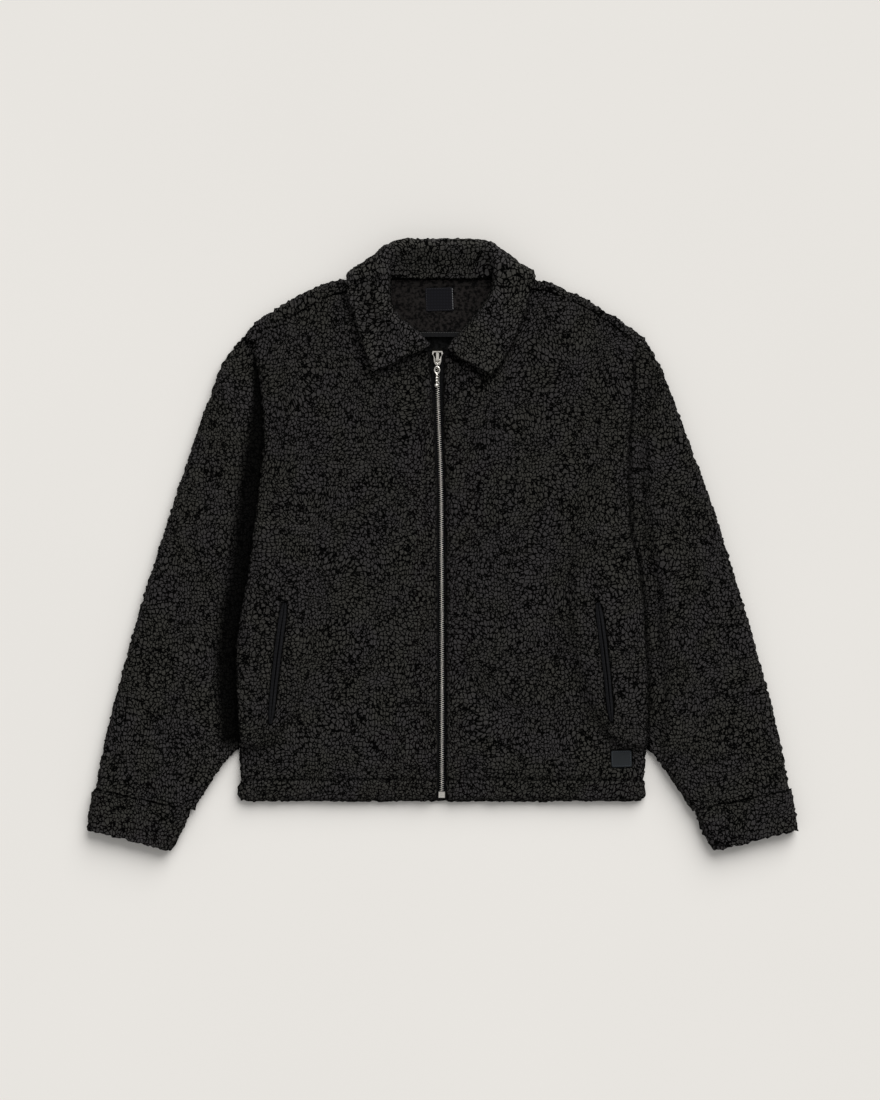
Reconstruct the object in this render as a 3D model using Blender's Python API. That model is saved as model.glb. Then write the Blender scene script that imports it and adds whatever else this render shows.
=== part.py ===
"""A high pile fleece jacket, zipped up and lying flat on its back.

The front faces +Z, the collar points to +Y and the wearer's left is at +X. The origin is on the ground,
under the middle of the jacket. Sizes are in millimetres, and solid() turns them to metres.
Each cloth piece is a wall between two grids of points, worked out from the tables of its edges.
"""

import bmesh
import bpy
import numpy as np

MM = 0.001
GAP = 0.3  # between two pieces at a seam
SEAM_CLEAR = 1.3  # the same where a curved seam meets another
SIDES = {"right": -1, "left": 1}  # the wearer's sides, and the sign of X there

# The fleece with its pile, and how high the layers lie.
FRONT_T = 8.0
BACK_T = 6.2
PRESSED_T = 5.2  # the back, where it is squeezed over a sleeve
PUFF = 2.8  # air between the front and the back
SLEEVE_T = 17.0  # both layers of a sleeve
MARGIN_T = 9.0  # both layers of a sleeve, under the body's edge
CUFF_T = 18.5
FOLD_R = 8.0  # the back's fold over the shoulder
COLLAR_T = 8.4
FALL_T = 4.0  # the collar's fall, squeezed under the back
COLLAR_LIFT = 5.2  # how far that fall raises the back
ZIP_LIFT = 1.9  # how far the zip tapes raise the fronts
MARGIN_RAMP = 20.0  # over which the back climbs on to a sleeve
MARGIN_CLEAR = 14.0  # from the top of that climb to the sleeve
MARGIN_END_Y = -259.0  # below this the sleeves are clear of the body, and the layers lie flat again
MARGIN_FADE = 16.0
EARLY = 12.0  # the fronts climb this much sooner, so that the layers stay apart
FALL_FROM_Y = 260.0  # the fall lies under the back from here up, and this far to each side
FALL_HALF = 150.0
FALL_BACK = 0.5  # how much thinner the back is pressed over the fall, and the fronts
FALL_FRONT = 1.3
ARMPIT_Y = 10.0
HEM_Y = -313.0  # the hem's corners
HEM_DROP = 7.9  # from them down to the hem
HEM_STITCH_Y = -294.0
STITCH_DEPTH = 1.2  # the groove along the hem's stitches
STITCH_W = 3.0
NECK_Y = 331.0  # the back neck seam
RIM = 0.3  # of the cloth's thickness, left at its edges
INNER = 30.0  # a distance from every edge at which the fronts' height is full

# Half-widths at a height: y, at -X, at +X.
BODY_SIDE = np.array([
    (-313, 257, 255), (-294, 254, 253), (-244, 254, 255), (-180, 257, 257), (-120, 257, 254),
    (-75, 250, 251), (-25, 241, 245), (10, 237, 236), (60, 231, 233), (119, 225, 233),
    (206, 229, 240), (250, 238, 244),
])
SLEEVE_OUT = np.array([
    (259, 251, 253), (231, 271, 267), (181, 291, 288), (131, 309, 306), (56, 334, 334),
    (-19, 358, 358), (-94, 381, 381), (-169, 402, 402), (-244, 421, 421), (-305.7, 433, 433),
])
ARMHOLE = np.array([
    (ARMPIT_Y, 203, 203), (60, 213, 217), (119, 219, 227), (206, 221, 232), (245, 234, 240.5),
    (254, 241, 247.8), (259, 248.8, 252.2),
])
UNDERARM = np.array([
    (ARMPIT_Y, 203, 203), (-60, 196, 196), (-130, 200, 200), (-180, 212, 212), (-225, 235, 234),
    (-257, 259, 260), (-269, 270, 270), (-294, 288, 287), (-319, 304, 304), (-331.7, 311, 311),
])
# Outlines seen from above: x at -X, y, x at +X, y.
SHOULDER = np.array([
    (248, 260, 251, 260), (231, 281, 222, 281), (212, 293, 202, 293), (191, 306, 181, 306),
    (167, 318, 156, 318), (138, 330, 128, 330), (122, 331.5, 114, 331.5), (100, 332, 96, 332),
    (76, 336, 74, 336),
])
SHOULDER_SEAM = np.array([
    (236, 251, 243, 249), (209, 272, 209, 278), (178, 291, 166, 303), (147, 308, 130, 315.5),
    (125, 313.5, 113, 318), (77, 322, 76, 323),
])
NECK_EDGE = np.array([
    (80, 317.5, 79, 318.5), (77, 310, 71, 309), (74, 294, 58, 289), (62.5, 273, 46, 272),
    (47.5, 262.5, 33.5, 257), (36, 254.5, 18, 244), (25.5, 246, 9.5, 239), (14.8, 238, 2.2, 236),
])
CUFF_OUTER = np.array([
    (436.5, -306, 436.5, -306), (439, -320, 439, -320), (441.3, -338, 441.3, -338),
    (443.1, -357, 443.1, -357),
])
CUFF_MOUTH = np.array([
    (341, -381.9, 339, -381.9), (352, -379.5, 352, -379.5), (394, -368.5, 394, -368.5),
    (443.1, -357, 443.1, -357),
])
CUFF_INNER = np.array([
    (316, -331, 316, -332), (322, -348, 321, -348), (331, -368, 330, -368), (341, -381.9, 339, -381.9),
])
# The zip: y, x of its middle, half the gap between the fronts' edges.
ZIP = np.array([
    (-320, -0.9, 5.0), (-19, -1.3, 5.0), (93, -2.5, 5.0), (156, -5.0, 5.2), (193, -6.0, 6.2),
    (218, -6.3, 8.0), (243, -6.3, 8.5),
])
# Soft folds of the fronts, pressed in or raised: x, y of both ends, half-width, depth.
FOLDS = np.array([
    (22, -163, 66, -207, 16, 1.6), (66, -207, 134, -226, 16, 1.8), (128, -20, 124, -84, 18, 1.2),
    (-40, -150, -120, -205, 20, 1.2), (-150, 40, -120, -50, 22, 1.0), (60, 60, 90, 0, 22, -0.8),
    (-215, 150, -190, 60, 14, 1.2), (200, 170, 186, 60, 14, 1.0),
])
# The collar's wings from the zip up: x, y of the edge seen in the neck, height of the roll there, and
# x, y of the outer edge.
WINGS = {
    -1: np.array([
        (-13, 247, 25, -88, 214), (-26, 261, 27, -97, 240), (-40, 272, 29, -105, 264),
        (-54, 283, 30.5, -112, 286), (-63, 300, 31, -118, 306), (-65, 318, 31, -121, 321),
    ]),
    1: np.array([
        (4, 243, 25, 60, 210), (14, 257, 27, 76, 230), (27, 270, 29, 88, 252),
        (41, 286, 30.5, 97, 275), (53, 303, 31, 105, 297), (61, 320, 31, 110, 316),
    ]),
}
# The same wall further round, where the fall turns over the shoulder and goes under the back. Each row has
# eight points of the wall's middle, from the neck seam over the roll to the fall's edge: x, y, z at -X.
TURN = np.array([
    [(-68, 334, 15), (-68.5, 336, 22), (-70, 340, 29), (-76, 343, 31.5), (-86, 343, 30.8), (-97, 341, 28.2),
     (-109, 338, 25.2), (-120, 334, 22.6)],
    [(-66, 338, 15.5), (-67, 345, 22), (-69, 352, 28.5), (-73, 357.5, 30), (-81, 359.5, 24),
     (-91, 353.5, 17.5), (-103.5, 345, 12.5), (-115, 339, 9)],
    [(-62, 337.5, 15.3), (-63, 349, 21.3), (-65, 360, 28), (-67.5, 366, 29.5), (-73, 366.5, 19),
     (-83, 356.5, 8.5), (-98, 344, 3.2), (-111, 329, 2.4)],
    [(-57, 335, 15.1), (-57, 351, 20.8), (-58, 365, 27.5), (-59, 371.5, 29.3), (-63, 373, 18),
     (-70, 363.5, 6.6), (-83, 342, 2.5), (-94, 312, 2.4)],
    [(-42, 333, 15), (-42, 350, 20.5), (-42, 366, 27.5), (-42, 374.4, 29.5), (-43.5, 377.4, 18),
     (-46, 371, 5.6), (-54, 342, 2.4), (-60, 307, 2.4)],
])
TURN_SHRINK = 0.965  # the same rows at +X, a little nearer the middle
BACK_COLLAR = np.array([
    (0, 333, 15), (0, 350, 20.5), (0, 366, 27.5), (0, 374.4, 29.5), (0, 377.6, 18), (0, 371, 5.6),
    (0, 342, 2.4), (0, 306, 2.4),
])
WING_FOOT_Z = 13.2  # the wings' lower edge at the neck
WING_FOOT_LIFT = (4.5, 2.0)  # how much higher the first two rows stand, over the zip
WING_LIE_Z = 22.6  # the wings' outer edge
# The pocket slits, top and bottom end: x, y at -X and at +X.
POCKETS = {-1: ((-196.5, -72), (-214.5, -224)), 1: ((193.5, -72), (210.5, -221))}
POCKET_W = 9.0
POCKET_DEPTH = 4.5
POCKET_ROWS = 9
POCKET_TAPER = 0.2  # the slit is this much narrower at the bottom
POCKET_BOW = 1.2
WELT_T = 3.4
WELT_APART = 0.7  # the slit between the two welts
WELT_ROUND = 0.9  # how much lower a welt is at its edges
PATCH = {"x": 223.5, "y": -267.5, "wide": 25.6, "high": 20.8, "tilt": 0.03, "sunk": 2.2, "thick": 1.4}
LABEL = {"x": -4.0, "y": 306.3, "wide": 34.0, "high": 29.0, "tilt": 0.035, "thick": 0.7}
PLATE_CORNER = 2.2
FACING_Z = 11.6
FACING_T = 1.2
# The strips inside the back neck: y of both ends.
FACING_Y = (266.0, 322.6)
NECK_TAPE_Y = (323.0, 330.4)
BINDING_Y = (259.5, 265.6)

# The zip's own parts.
TAPE_HALF = 14.0
TAPE_Z = (6.6, 7.9)
TAPE_Y = (-317.5, 241.0)
TEETH_HALF = 2.75
TEETH_Z = (8.2, 10.8)
TEETH_TOP_Y = 222.8
BOX_Y = (-316.5, -309.0)
BOX_HALF = 3.9
STOP_X = (3.0, 6.2)
STOP_Y = (242.3, 245.8)
SLIDER_X = -6.2
SLIDER_Z = (8.2, 12.4)
SLIDER_RIM = 1.5
SLIDER_RECESS = 1.1
# y, half-width.
SLIDER_OUTLINE = ((241.6, 6.0), (238.4, 6.9), (235.0, 4.8), (229.0, 4.5), (226.0, 3.6), (224.2, 2.0))
PULL_AXIS = (-6.2, 231.2, 13.7)
BRIDGE_HALF = 1.7
BRIDGE_R = 3.3  # of the curl round the pivot bar, outside and inside
BRIDGE_INNER_R = 1.5
BRIDGE_Y = (238.6, 240.6)  # the bridge's foot
WIRE_R = 0.7
EYE_HALF = 2.65
EYE_LONG = 4.6
EYE_CORNER = 0.5
RING = {"y": 217.9, "half_x": 3.1, "half_y": 4.3, "wire": 0.95}
BEAD_HALF_Z = 2.4
# The balls of the pull: name, how far its middle is to the left, y, radius across and along.
BEADS = (
    ("knob", 0.4, 223.6, 1.1, 3.2), ("bead_0", 0.9, 211.6, 1.9, 1.95), ("bead_1", 1.05, 208.1, 2.0, 1.95),
    ("bead_2", 1.2, 204.5, 2.0, 1.95), ("stem", 1.2, 202.0, 0.8, 2.6), ("end_bead", 1.4, 198.8, 3.0, 2.5),
)


def smooth(share):
    """0 below 0, 1 above 1, and an S curve between them."""
    share = np.clip(share, 0, 1)
    return share * share * (3 - 2 * share)


def rounded(distance, radius):
    """The height of a quarter circle: 0 at its start, 1 from radius on."""
    return np.sqrt(1 - (1 - np.clip(distance / radius, 0, 1)) ** 2)


def along(rows, shares):
    """Points at shares of the way along a smooth curve through rows: cubic pieces with averaged slopes."""
    rows, shares = np.asarray(rows, float), np.asarray(shares, float)
    knots = np.concatenate([[0], np.cumsum(np.linalg.norm(np.diff(rows, axis=0), axis=1))])
    slope = np.gradient(rows, knots, axis=0)
    where = shares * knots[-1]
    i = np.clip(np.searchsorted(knots, where, side="right") - 1, 0, len(rows) - 2)
    width = (knots[i + 1] - knots[i])[..., None]
    t = (where - knots[i])[..., None] / width
    start = (1 + 2 * t) * (1 - t) ** 2 * rows[i] + t * (1 - t) ** 2 * width * slope[i]
    end = t * t * (3 - 2 * t) * rows[i + 1] + t * t * (t - 1) * width * slope[i + 1]
    return start + end


def column(table, side):
    """One side's two columns of a table: height and half-width, or x and y."""
    if table.shape[1] == 3:
        return table[:, [0, 1 if side < 0 else 2]].astype(float)
    pair = table[:, [0, 1] if side < 0 else [2, 3]].astype(float)
    return pair * [side, 1]


def reading(table, y):
    """The second column at height y, on a smooth curve through a table of two columns."""
    dense = along(table, np.linspace(0, 1, 300))
    order = np.argsort(dense[:, 0])
    return np.interp(y, dense[order, 0], dense[order, 1])


def body_side(side, y):
    return reading(column(BODY_SIDE, side), y)


def sleeve_inner(side, y):
    """Half-width of the sleeve's inner boundary: the armhole above the armpit, the underarm below it."""
    upper, lower = column(ARMHOLE, side), column(UNDERARM, side)
    return np.where(np.asarray(y) > ARMPIT_Y, reading(upper, y), reading(lower, y))


def zip_middle(y):
    return reading(ZIP[:, [0, 1]], y)


def zip_half_gap(y):
    return reading(ZIP[:, [0, 2]], y)


def over_sleeve(side, x, y, early=0.0):
    """0 clear of the sleeve's inner margin, 1 over it."""
    beyond = np.abs(x) - sleeve_inner(side, y) + MARGIN_RAMP + MARGIN_CLEAR + early
    return smooth(beyond / MARGIN_RAMP) * smooth((y - MARGIN_END_Y + early / 4) / MARGIN_FADE)


def below_armpit(y):
    return smooth((ARMPIT_Y + 20 - y) / 12)


def over_fall(x, y, early=0.0):
    """1 where the collar's fall lies under the back, 0 away from it."""
    return smooth((y - FALL_FROM_Y + early) / 20) * smooth((FALL_HALF + early - np.abs(x)) / 25)


def back_margin(x, y):
    return np.where(x < 0, over_sleeve(-1, x, y), over_sleeve(1, x, y)) * below_armpit(y)


def back_low(x, y):
    """Height of the back's underside."""
    return (MARGIN_T + SEAM_CLEAR) * back_margin(x, y) + COLLAR_LIFT * over_fall(x, y)


def back_high(x, y):
    """Height of the back's inner face."""
    thick = BACK_T - (BACK_T - PRESSED_T) * back_margin(x, y) - FALL_BACK * over_fall(x, y)
    return back_low(x, y) + thick


def front_low(side, x, y, inside):
    """Height of a front's inner face: it lies on the back, on the sleeve's margin and on the zip tape."""
    margin, fall = over_sleeve(side, x, y, EARLY), over_fall(x, y, EARLY + 4)
    above = MARGIN_T - BACK_T
    below = PRESSED_T + SEAM_CLEAR
    tape = smooth((TAPE_HALF + 7 - np.abs(x - zip_middle(y))) / 5)
    lift = margin * (above + below * below_armpit(y)) + (COLLAR_LIFT - FALL_BACK) * fall
    return BACK_T + 2 * GAP + lift + ZIP_LIFT * tape + PUFF * smooth(inside / 60) * (1 - fall)


def fold_depth(x, y):
    """How far the soft folds press the front in: a bell across each fold's line, fading past its ends."""
    depth = np.zeros_like(x, dtype=float)
    for x0, y0, x1, y1, half, deep in FOLDS:
        long = np.hypot(x1 - x0, y1 - y0)
        t = ((x - x0) * (x1 - x0) + (y - y0) * (y1 - y0)) / long**2
        near = np.clip(t, 0, 1)
        away = np.hypot(x - x0 - near * (x1 - x0), y - y0 - near * (y1 - y0))
        depth += deep * np.exp(-((away / half) ** 2))
    return depth


def front_high(side, x, y, inside):
    """Height of a front's fleece, away from its edges."""
    stitch = STITCH_DEPTH * np.exp(-(((y - HEM_STITCH_Y) / STITCH_W) ** 2)) * smooth(inside / 8)
    thick = FRONT_T - FALL_FRONT * over_fall(x, y, EARLY + 4)
    return front_low(side, x, y, inside) + thick - fold_depth(x, y) * smooth(inside / 20) - stitch


def patch(near, far, start, end, u, v):
    """A sheet stretched between four edge curves: the mean of both pairs less the corners' share."""
    u, v = np.asarray(u)[:, None, None], np.asarray(v)[None, :, None]
    pairs = (1 - v) * near[:, None] + v * far[:, None] + (1 - u) * start[None] + u * end[None]
    corners = (1 - u) * (1 - v) * near[0] + u * (1 - v) * near[-1] + (1 - u) * v * far[0] + u * v * far[-1]
    return pairs - corners


def border_distances(plan):
    """Each point's distance along the grid to its first and last row, and to its first and last column."""
    found = []
    for axis in (0, 1):
        steps = np.linalg.norm(np.diff(plan, axis=axis), axis=2)
        run = np.cumsum(steps, axis=axis)
        run = np.concatenate([np.zeros_like(np.take(run, [0], axis=axis)), run], axis=axis)
        found += [run, np.take(run, [-1], axis=axis) - run]
    return found


def finish(name, colour, roughness, metallic=0.0):
    """A plain material: its colour in linear values."""
    material = bpy.data.materials.get(name) or bpy.data.materials.new(name)
    material.use_nodes = True
    shader = material.node_tree.nodes["Principled BSDF"]
    shader.inputs["Base Color"].default_value = (*colour, 1)
    shader.inputs["Roughness"].default_value = roughness
    shader.inputs["Metallic"].default_value = metallic
    return material


def solid(name, points, faces, material, parent=None):
    """One closed body from points in millimetres, with its faces turned outwards."""
    points = np.asarray(points, float)
    volume = 0.0
    for face in faces:
        for i in range(1, len(face) - 1):
            volume += np.dot(points[face[0]], np.cross(points[face[i]], points[face[i + 1]]))
    if volume < 0:
        faces = [face[::-1] for face in faces]
    origin = np.array(parent.location) if parent else np.zeros(3)
    mesh = bpy.data.meshes.new(name)
    mesh.from_pydata([tuple(p) for p in points * MM - origin], [], faces)
    mesh.materials.append(material)
    made = bpy.data.objects.new(name, mesh)
    made.parent = parent
    bpy.context.collection.objects.link(made)
    mesh.shade_smooth()
    mesh.set_sharp_from_angle(angle=0.8)
    return made


def wall(name, upper, lower, material, keep=None, ring=False):
    """The body between two grids, closed by a rim at their ends. ring joins the last column to the first."""
    rows, columns = upper.shape[:2]
    count = rows * columns
    across = columns if ring else columns - 1
    if keep is None:
        keep = np.ones((rows - 1, across), bool)
    faces, edges = [], set()
    for i, j in zip(*np.nonzero(keep)):
        k = (j + 1) % columns
        cell = [i * columns + j, (i + 1) * columns + j, (i + 1) * columns + k, i * columns + k]
        faces.append(cell)
        faces.append([corner + count for corner in reversed(cell)])
        edges.update(zip(cell, cell[1:] + cell[:1]))
    for a, b in edges:
        if (b, a) not in edges:
            faces.append([b, a, a + count, b + count])
    points = np.concatenate([upper.reshape(-1, 3), lower.reshape(-1, 3)])
    used = sorted({corner for face in faces for corner in face})
    place = {old: new for new, old in enumerate(used)}
    return solid(name, points[used], [[place[c] for c in face] for face in faces], material)


def at_heights(plan, heights):
    return np.concatenate([plan, np.asarray(heights)[..., None]], axis=-1)


def cut_from(body, cutter):
    cutter.hide_render = True
    cutter.display_type = "WIRE"
    step = body.modifiers.new("cut", "BOOLEAN")
    step.operation = "DIFFERENCE"
    step.object = cutter


def unite(body, other):
    other.hide_render = True
    other.display_type = "WIRE"
    step = body.modifiers.new("join", "BOOLEAN")
    step.operation = "UNION"
    step.object = other


def hem_line(first, last, drop):
    """A straight hem between two corners that are rounded off, drop millimetres below them."""
    way = np.sign(last[0] - first[0])
    offsets = ((0, 0), (3.5, 0.66), (11, 0.97), (32, 1))
    down = [(way * far, -drop * share) for far, share in offsets]
    up = [(-way * far, -drop * share) for far, share in offsets[::-1]]
    return np.concatenate([first + np.array(down), last + np.array(up)])


def back():
    """The back panel: flat under the fronts, raised at sleeves and neck, folded forward at the shoulders."""
    shares = np.array([0, 0.04, 0.1, 0.17, 0.24, 0.31, 0.4, 0.52, 0.68, 0.85, 1])
    shoulder_columns, neck_columns = len(shares), 5
    side_y = np.concatenate([
        [HEM_Y, -288], MARGIN_END_Y + MARGIN_FADE * np.array([0, 0.5, 1]), np.linspace(-220, -16, 8),
        [-2, 5, 12, 18, 24, 30], np.linspace(55, 220, 6), [232, 241, 247, 252],
    ])
    v = (side_y - side_y[0]) / (side_y[-1] - side_y[0])
    outline, outward, seam = {}, {}, {}
    for side in SIDES.values():
        rows = column(SHOULDER, side)
        outline[side] = along(rows, shares)
        run = np.gradient(along(rows, shares), axis=0)
        normal = np.stack([run[:, 1], -run[:, 0]], axis=1) * side
        outward[side] = normal / np.linalg.norm(normal, axis=1, keepdims=True)
        seam[side] = along(column(SHOULDER_SEAM, side), shares)
    radius = {s: FOLD_R - 1.5 * over_fall(outline[s][:, 0], outline[s][:, 1]) for s in outline}
    start = {s: outline[s] - radius[s][:, None] * outward[s] for s in outline}
    neck_x = np.linspace(start[-1][-1, 0], start[1][-1, 0], neck_columns + 2)[1:-1]
    neck = np.stack([neck_x, np.full(neck_columns, NECK_Y - 1)], axis=1)
    far = np.concatenate([start[-1], neck, start[1][::-1]])
    u = np.concatenate([[0], np.cumsum(np.linalg.norm(np.diff(far, axis=0), axis=1))])
    u /= u[-1]
    edges = {}
    for side in SIDES.values():
        wide = smooth((ARMPIT_Y + 2 - side_y) / 14)
        inner = reading(column(ARMHOLE, side), side_y)
        x = side * (inner - 1.0 + (body_side(side, side_y) - inner) * wide)
        edges[side] = np.stack([x, side_y], axis=1)
        edges[side][-1] = start[side][0]
    near = along(hem_line(edges[-1][0], edges[1][0], HEM_DROP - 1.0), u)
    plan = patch(near, far, edges[-1], edges[1], u, v)
    x, y = plan[..., 0], plan[..., 1]
    low, high = back_low(x, y), back_high(x, y)
    outer, inner = [at_heights(plan, low)], [at_heights(plan, high)]
    base = far
    away, lip = np.zeros_like(base), np.zeros_like(base)
    fold = np.full(len(base), FOLD_R)
    for s, part in ((-1, slice(0, shoulder_columns)), (1, slice(len(base) - shoulder_columns, None))):
        flip = slice(None) if s < 0 else slice(None, None, -1)
        away[part] = outward[s][flip]
        fold[part] = radius[s][flip]
        clear = SEAM_CLEAR + 2.0 * over_fall(seam[s][:, 0], seam[s][:, 1])
        lip[part] = (seam[s] + clear[:, None] * outward[s])[flip]
    ground, thick = low[:, -1], (high - low)[:, -1]
    for angle in np.radians((35, 70, 105, 140, 180)):
        reach = base + (fold * np.sin(angle))[:, None] * away
        outer.append(at_heights(reach, ground + fold * (1 - np.cos(angle)))[:, None])
        small = fold - thick
        reach = base + (small * np.sin(angle))[:, None] * away
        inner.append(at_heights(reach, ground + fold - small * np.cos(angle))[:, None])
    for share, drop in ((0.75, 0.4), (1.0, 2.4)):
        reach = base + (lip - base) * share
        outer.append(at_heights(reach, ground + 2 * fold - drop)[:, None])
        inner.append(at_heights(reach, ground + 2 * fold - thick)[:, None])
    outer, inner = np.concatenate(outer, axis=1), np.concatenate(inner, axis=1)
    keep = np.ones((len(u) - 1, outer.shape[1] - 1), bool)
    keep[shoulder_columns - 1:len(u) - shoulder_columns, len(v) - 1:] = False
    return wall("back", inner, outer, FLEECE, keep)


def front_plan(side, u, v):
    """A front seen from above: from the zip to the side, and from the hem to the neck and the shoulder."""
    top = np.concatenate([column(NECK_EDGE, side)[::-1], column(SHOULDER_SEAM, side)[::-1][1:]])
    zip_y = HEM_Y + (top[0, 1] - HEM_Y) * v
    start = np.stack([zip_middle(zip_y) + side * zip_half_gap(zip_y), zip_y], axis=1)
    start[-1] = top[0]
    side_y = HEM_Y + (top[-1, 1] - HEM_Y) * v
    end = np.stack([side * body_side(side, side_y), side_y], axis=1)
    end[-1] = top[-1]
    return patch(along(hem_line(start[0], end[0], HEM_DROP), u), along(top, u), start, end, u, v)


def front(word, side):
    """A front panel: its edges rounded, its pocket slit and the patch's place pressed in."""
    u = np.concatenate([[0, 0.012, 0.035], np.linspace(0.09, 0.93, 13), [0.965, 0.988, 1]])
    v = np.concatenate([
        [0, 0.008, 0.022, 0.035, 0.047, 0.068, 0.091, 0.105, 0.12], np.linspace(0.155, 0.54, 8),
        [0.566, 0.589, 0.611], np.linspace(0.66, 0.95, 7), [0.985, 1],
    ])
    plan = front_plan(side, u, v)
    x, y = plan[..., 0], plan[..., 1]
    zip_d, side_d, hem_d, top_d = border_distances(plan)
    inside = np.minimum(np.minimum(zip_d, side_d), np.minimum(hem_d, top_d))
    low = front_low(side, x, y, inside)
    full = front_high(side, x, y, inside) - low
    edge = np.minimum(rounded(side_d, 11), np.minimum(rounded(zip_d, 8), rounded(hem_d, 8)))
    edge = np.minimum(edge, 0.35 + rounded(top_d, 6))
    high = low + full * (RIM + (1 - RIM) * np.minimum(edge, 1))
    panel = wall(f"front_{word}", at_heights(plan, high), at_heights(plan, low), FLEECE)
    cut_from(panel, pocket_cutter(word, side))
    if side > 0:
        floor = patch_floor()
        hole = slab("patch_place", PATCH["x"], PATCH["y"], PATCH["wide"] + 2 * GAP, PATCH["high"] + 2 * GAP,
                    PATCH["tilt"], (floor, floor + 12), PLATE_CORNER + GAP)
        cut_from(panel, hole)
    return panel


def patch_floor():
    """The height to which the patch's place is pressed into the left front."""
    return front_high(1, np.array(PATCH["x"]), np.array(PATCH["y"]), np.array(INNER)) - PATCH["sunk"]


def pocket_edge(side, across):
    """A line beside the pocket slit, across millimetres towards the side seam, at the front's height."""
    (x0, y0), (x1, y1) = POCKETS[side]
    t = np.linspace(0, 1, POCKET_ROWS)
    run = np.array([x1 - x0, y1 - y0]) / np.hypot(x1 - x0, y1 - y0)
    sideways = np.array([-run[1], run[0]]) * side
    aside = across * (1 - POCKET_TAPER * t) + POCKET_BOW * np.sin(np.pi * t)
    place = np.stack([x0 + (x1 - x0) * t, y0 + (y1 - y0) * t], axis=1) + aside[:, None] * sideways
    return at_heights(place, front_high(side, place[:, 0], place[:, 1], np.full(POCKET_ROWS, INNER)))


def pocket_strip(side, offsets, low, high):
    """Upper and lower grids of a strip along the slit, on the straight lines between its two edges."""
    near, far = (pocket_edge(side, across) for across in (-POCKET_W / 2, POCKET_W / 2))
    lines = np.stack([near + (far - near) * (0.5 + across / POCKET_W) for across in offsets], axis=1)
    return lines + (0, 0, high), lines + (0, 0, low)


def pocket_cutter(word, side):
    upper, lower = pocket_strip(side, (-POCKET_W / 2, POCKET_W / 2), -POCKET_DEPTH, 12.0)
    reach = (upper[-1] - upper[0]) / np.linalg.norm(upper[-1] - upper[0])
    for grid in (upper, lower):
        grid[0] -= 1.0 * reach
        grid[-1] += 1.0 * reach
    return wall(f"pocket_cutter_{word}", upper, lower, WELT)


def welts(word, side):
    """Two folded strips of smooth cloth that line the slit, rounded on top and parted by the slit."""
    half, slit = POCKET_W / 2 - GAP - 0.05, WELT_APART / 2
    floor = -POCKET_DEPTH + GAP + 0.1
    for name, first, last in (("inner", -half, -slit), ("outer", slit, half)):
        upper, lower = pocket_strip(side, (first, (first + last) / 2, last), floor, floor + WELT_T)
        upper[:, [0, 2], 2] -= WELT_ROUND
        wall(f"welt_{name}_{word}", upper, lower, WELT)


def slab(name, x, y, wide, high, tilt, heights, corner, material=None):
    """A flat plate with rounded corners, turned by tilt about its middle."""
    angles = np.radians(np.arange(0, 360, 30) + 15)
    quarter = np.sign([np.cos(angles), np.sin(angles)]) * [[wide / 2 - corner], [high / 2 - corner]]
    ring = quarter + corner * np.array([np.cos(angles), np.sin(angles)])
    turned = np.array([[np.cos(tilt), -np.sin(tilt)], [np.sin(tilt), np.cos(tilt)]]) @ ring
    plan = turned.T + (x, y)
    count = len(plan)
    points = np.concatenate([at_heights(plan, np.full(count, float(h))) for h in heights])
    sides = [[i, (i + 1) % count, (i + 1) % count + count, i + count] for i in range(count)]
    caps = [list(range(count))[::-1], list(range(count, 2 * count))]
    return solid(name, points, sides + caps, material or PATCH_CLOTH)


def flat_tube(name, near, far, start, end, thickness, rows, cavity, material):
    """A cloth tube lying flat: a ring of points round each row of the outline, and a slit-like hollow inside.

    near and far are the end curves and start and end the inner and outer fold lines, as functions of a share.
    """
    count = 24
    turn = np.linspace(0, 2 * np.pi, count, endpoint=False)
    across = (1 - np.cos(turn)) / 2
    v = np.linspace(0, 1, rows)
    grids = []
    for inset in (0.0, cavity["inset"]):
        w = inset + (1 - 2 * inset) * across
        plan = patch_at(near, far, start, end, w, v)
        x, y = plan[..., 0], plan[..., 1]
        full = patch_at(near, far, start, end, np.array([0.0, 1.0]), v)
        wide = np.linalg.norm(full[1] - full[0], axis=1)[None]
        fold_d = np.minimum(w, 1 - w)[:, None] * wide
        thick = thickness(x, y)
        below = (np.sin(turn) > 1e-9)[:, None]
        tip = (np.abs(np.sin(turn)) < 1e-9)[:, None]
        if inset == 0:
            bulge = rounded(fold_d, thick / 2)
            height = np.where(below, thick / 2 * (1 - bulge), thick / 2 * (1 + bulge))
            height = np.where(tip, thick / 2, height)
        else:
            open_by = 0.5 + cavity["open"] * smooth((thick - 10) / 6) * smooth(fold_d / 40)
            reach = np.sqrt(np.abs(np.sin(turn)))[:, None] * open_by / 2
            height = 0.44 * thick + np.where(below, -reach, reach)
        grids.append(at_heights(plan, height).transpose(1, 0, 2))
    return wall(name, grids[0], grids[1], material, ring=True)


def patch_at(near, far, start, end, u, v):
    """The stretched sheet at any shares, from edge curves that are functions of a share."""
    ends = np.array([0.0, 1.0])
    corners = [near(ends)[0], near(ends)[1], far(ends)[0], far(ends)[1]]
    near_u, far_u, start_v, end_v = near(u)[:, None], far(u)[:, None], start(v)[None], end(v)[None]
    u, v = np.asarray(u)[:, None, None], np.asarray(v)[None, :, None]
    pairs = (1 - v) * near_u + v * far_u + (1 - u) * start_v + u * end_v
    shares = (1 - u) * (1 - v), u * (1 - v), (1 - u) * v, u * v
    return pairs - sum(share * corner for share, corner in zip(shares, corners))


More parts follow.
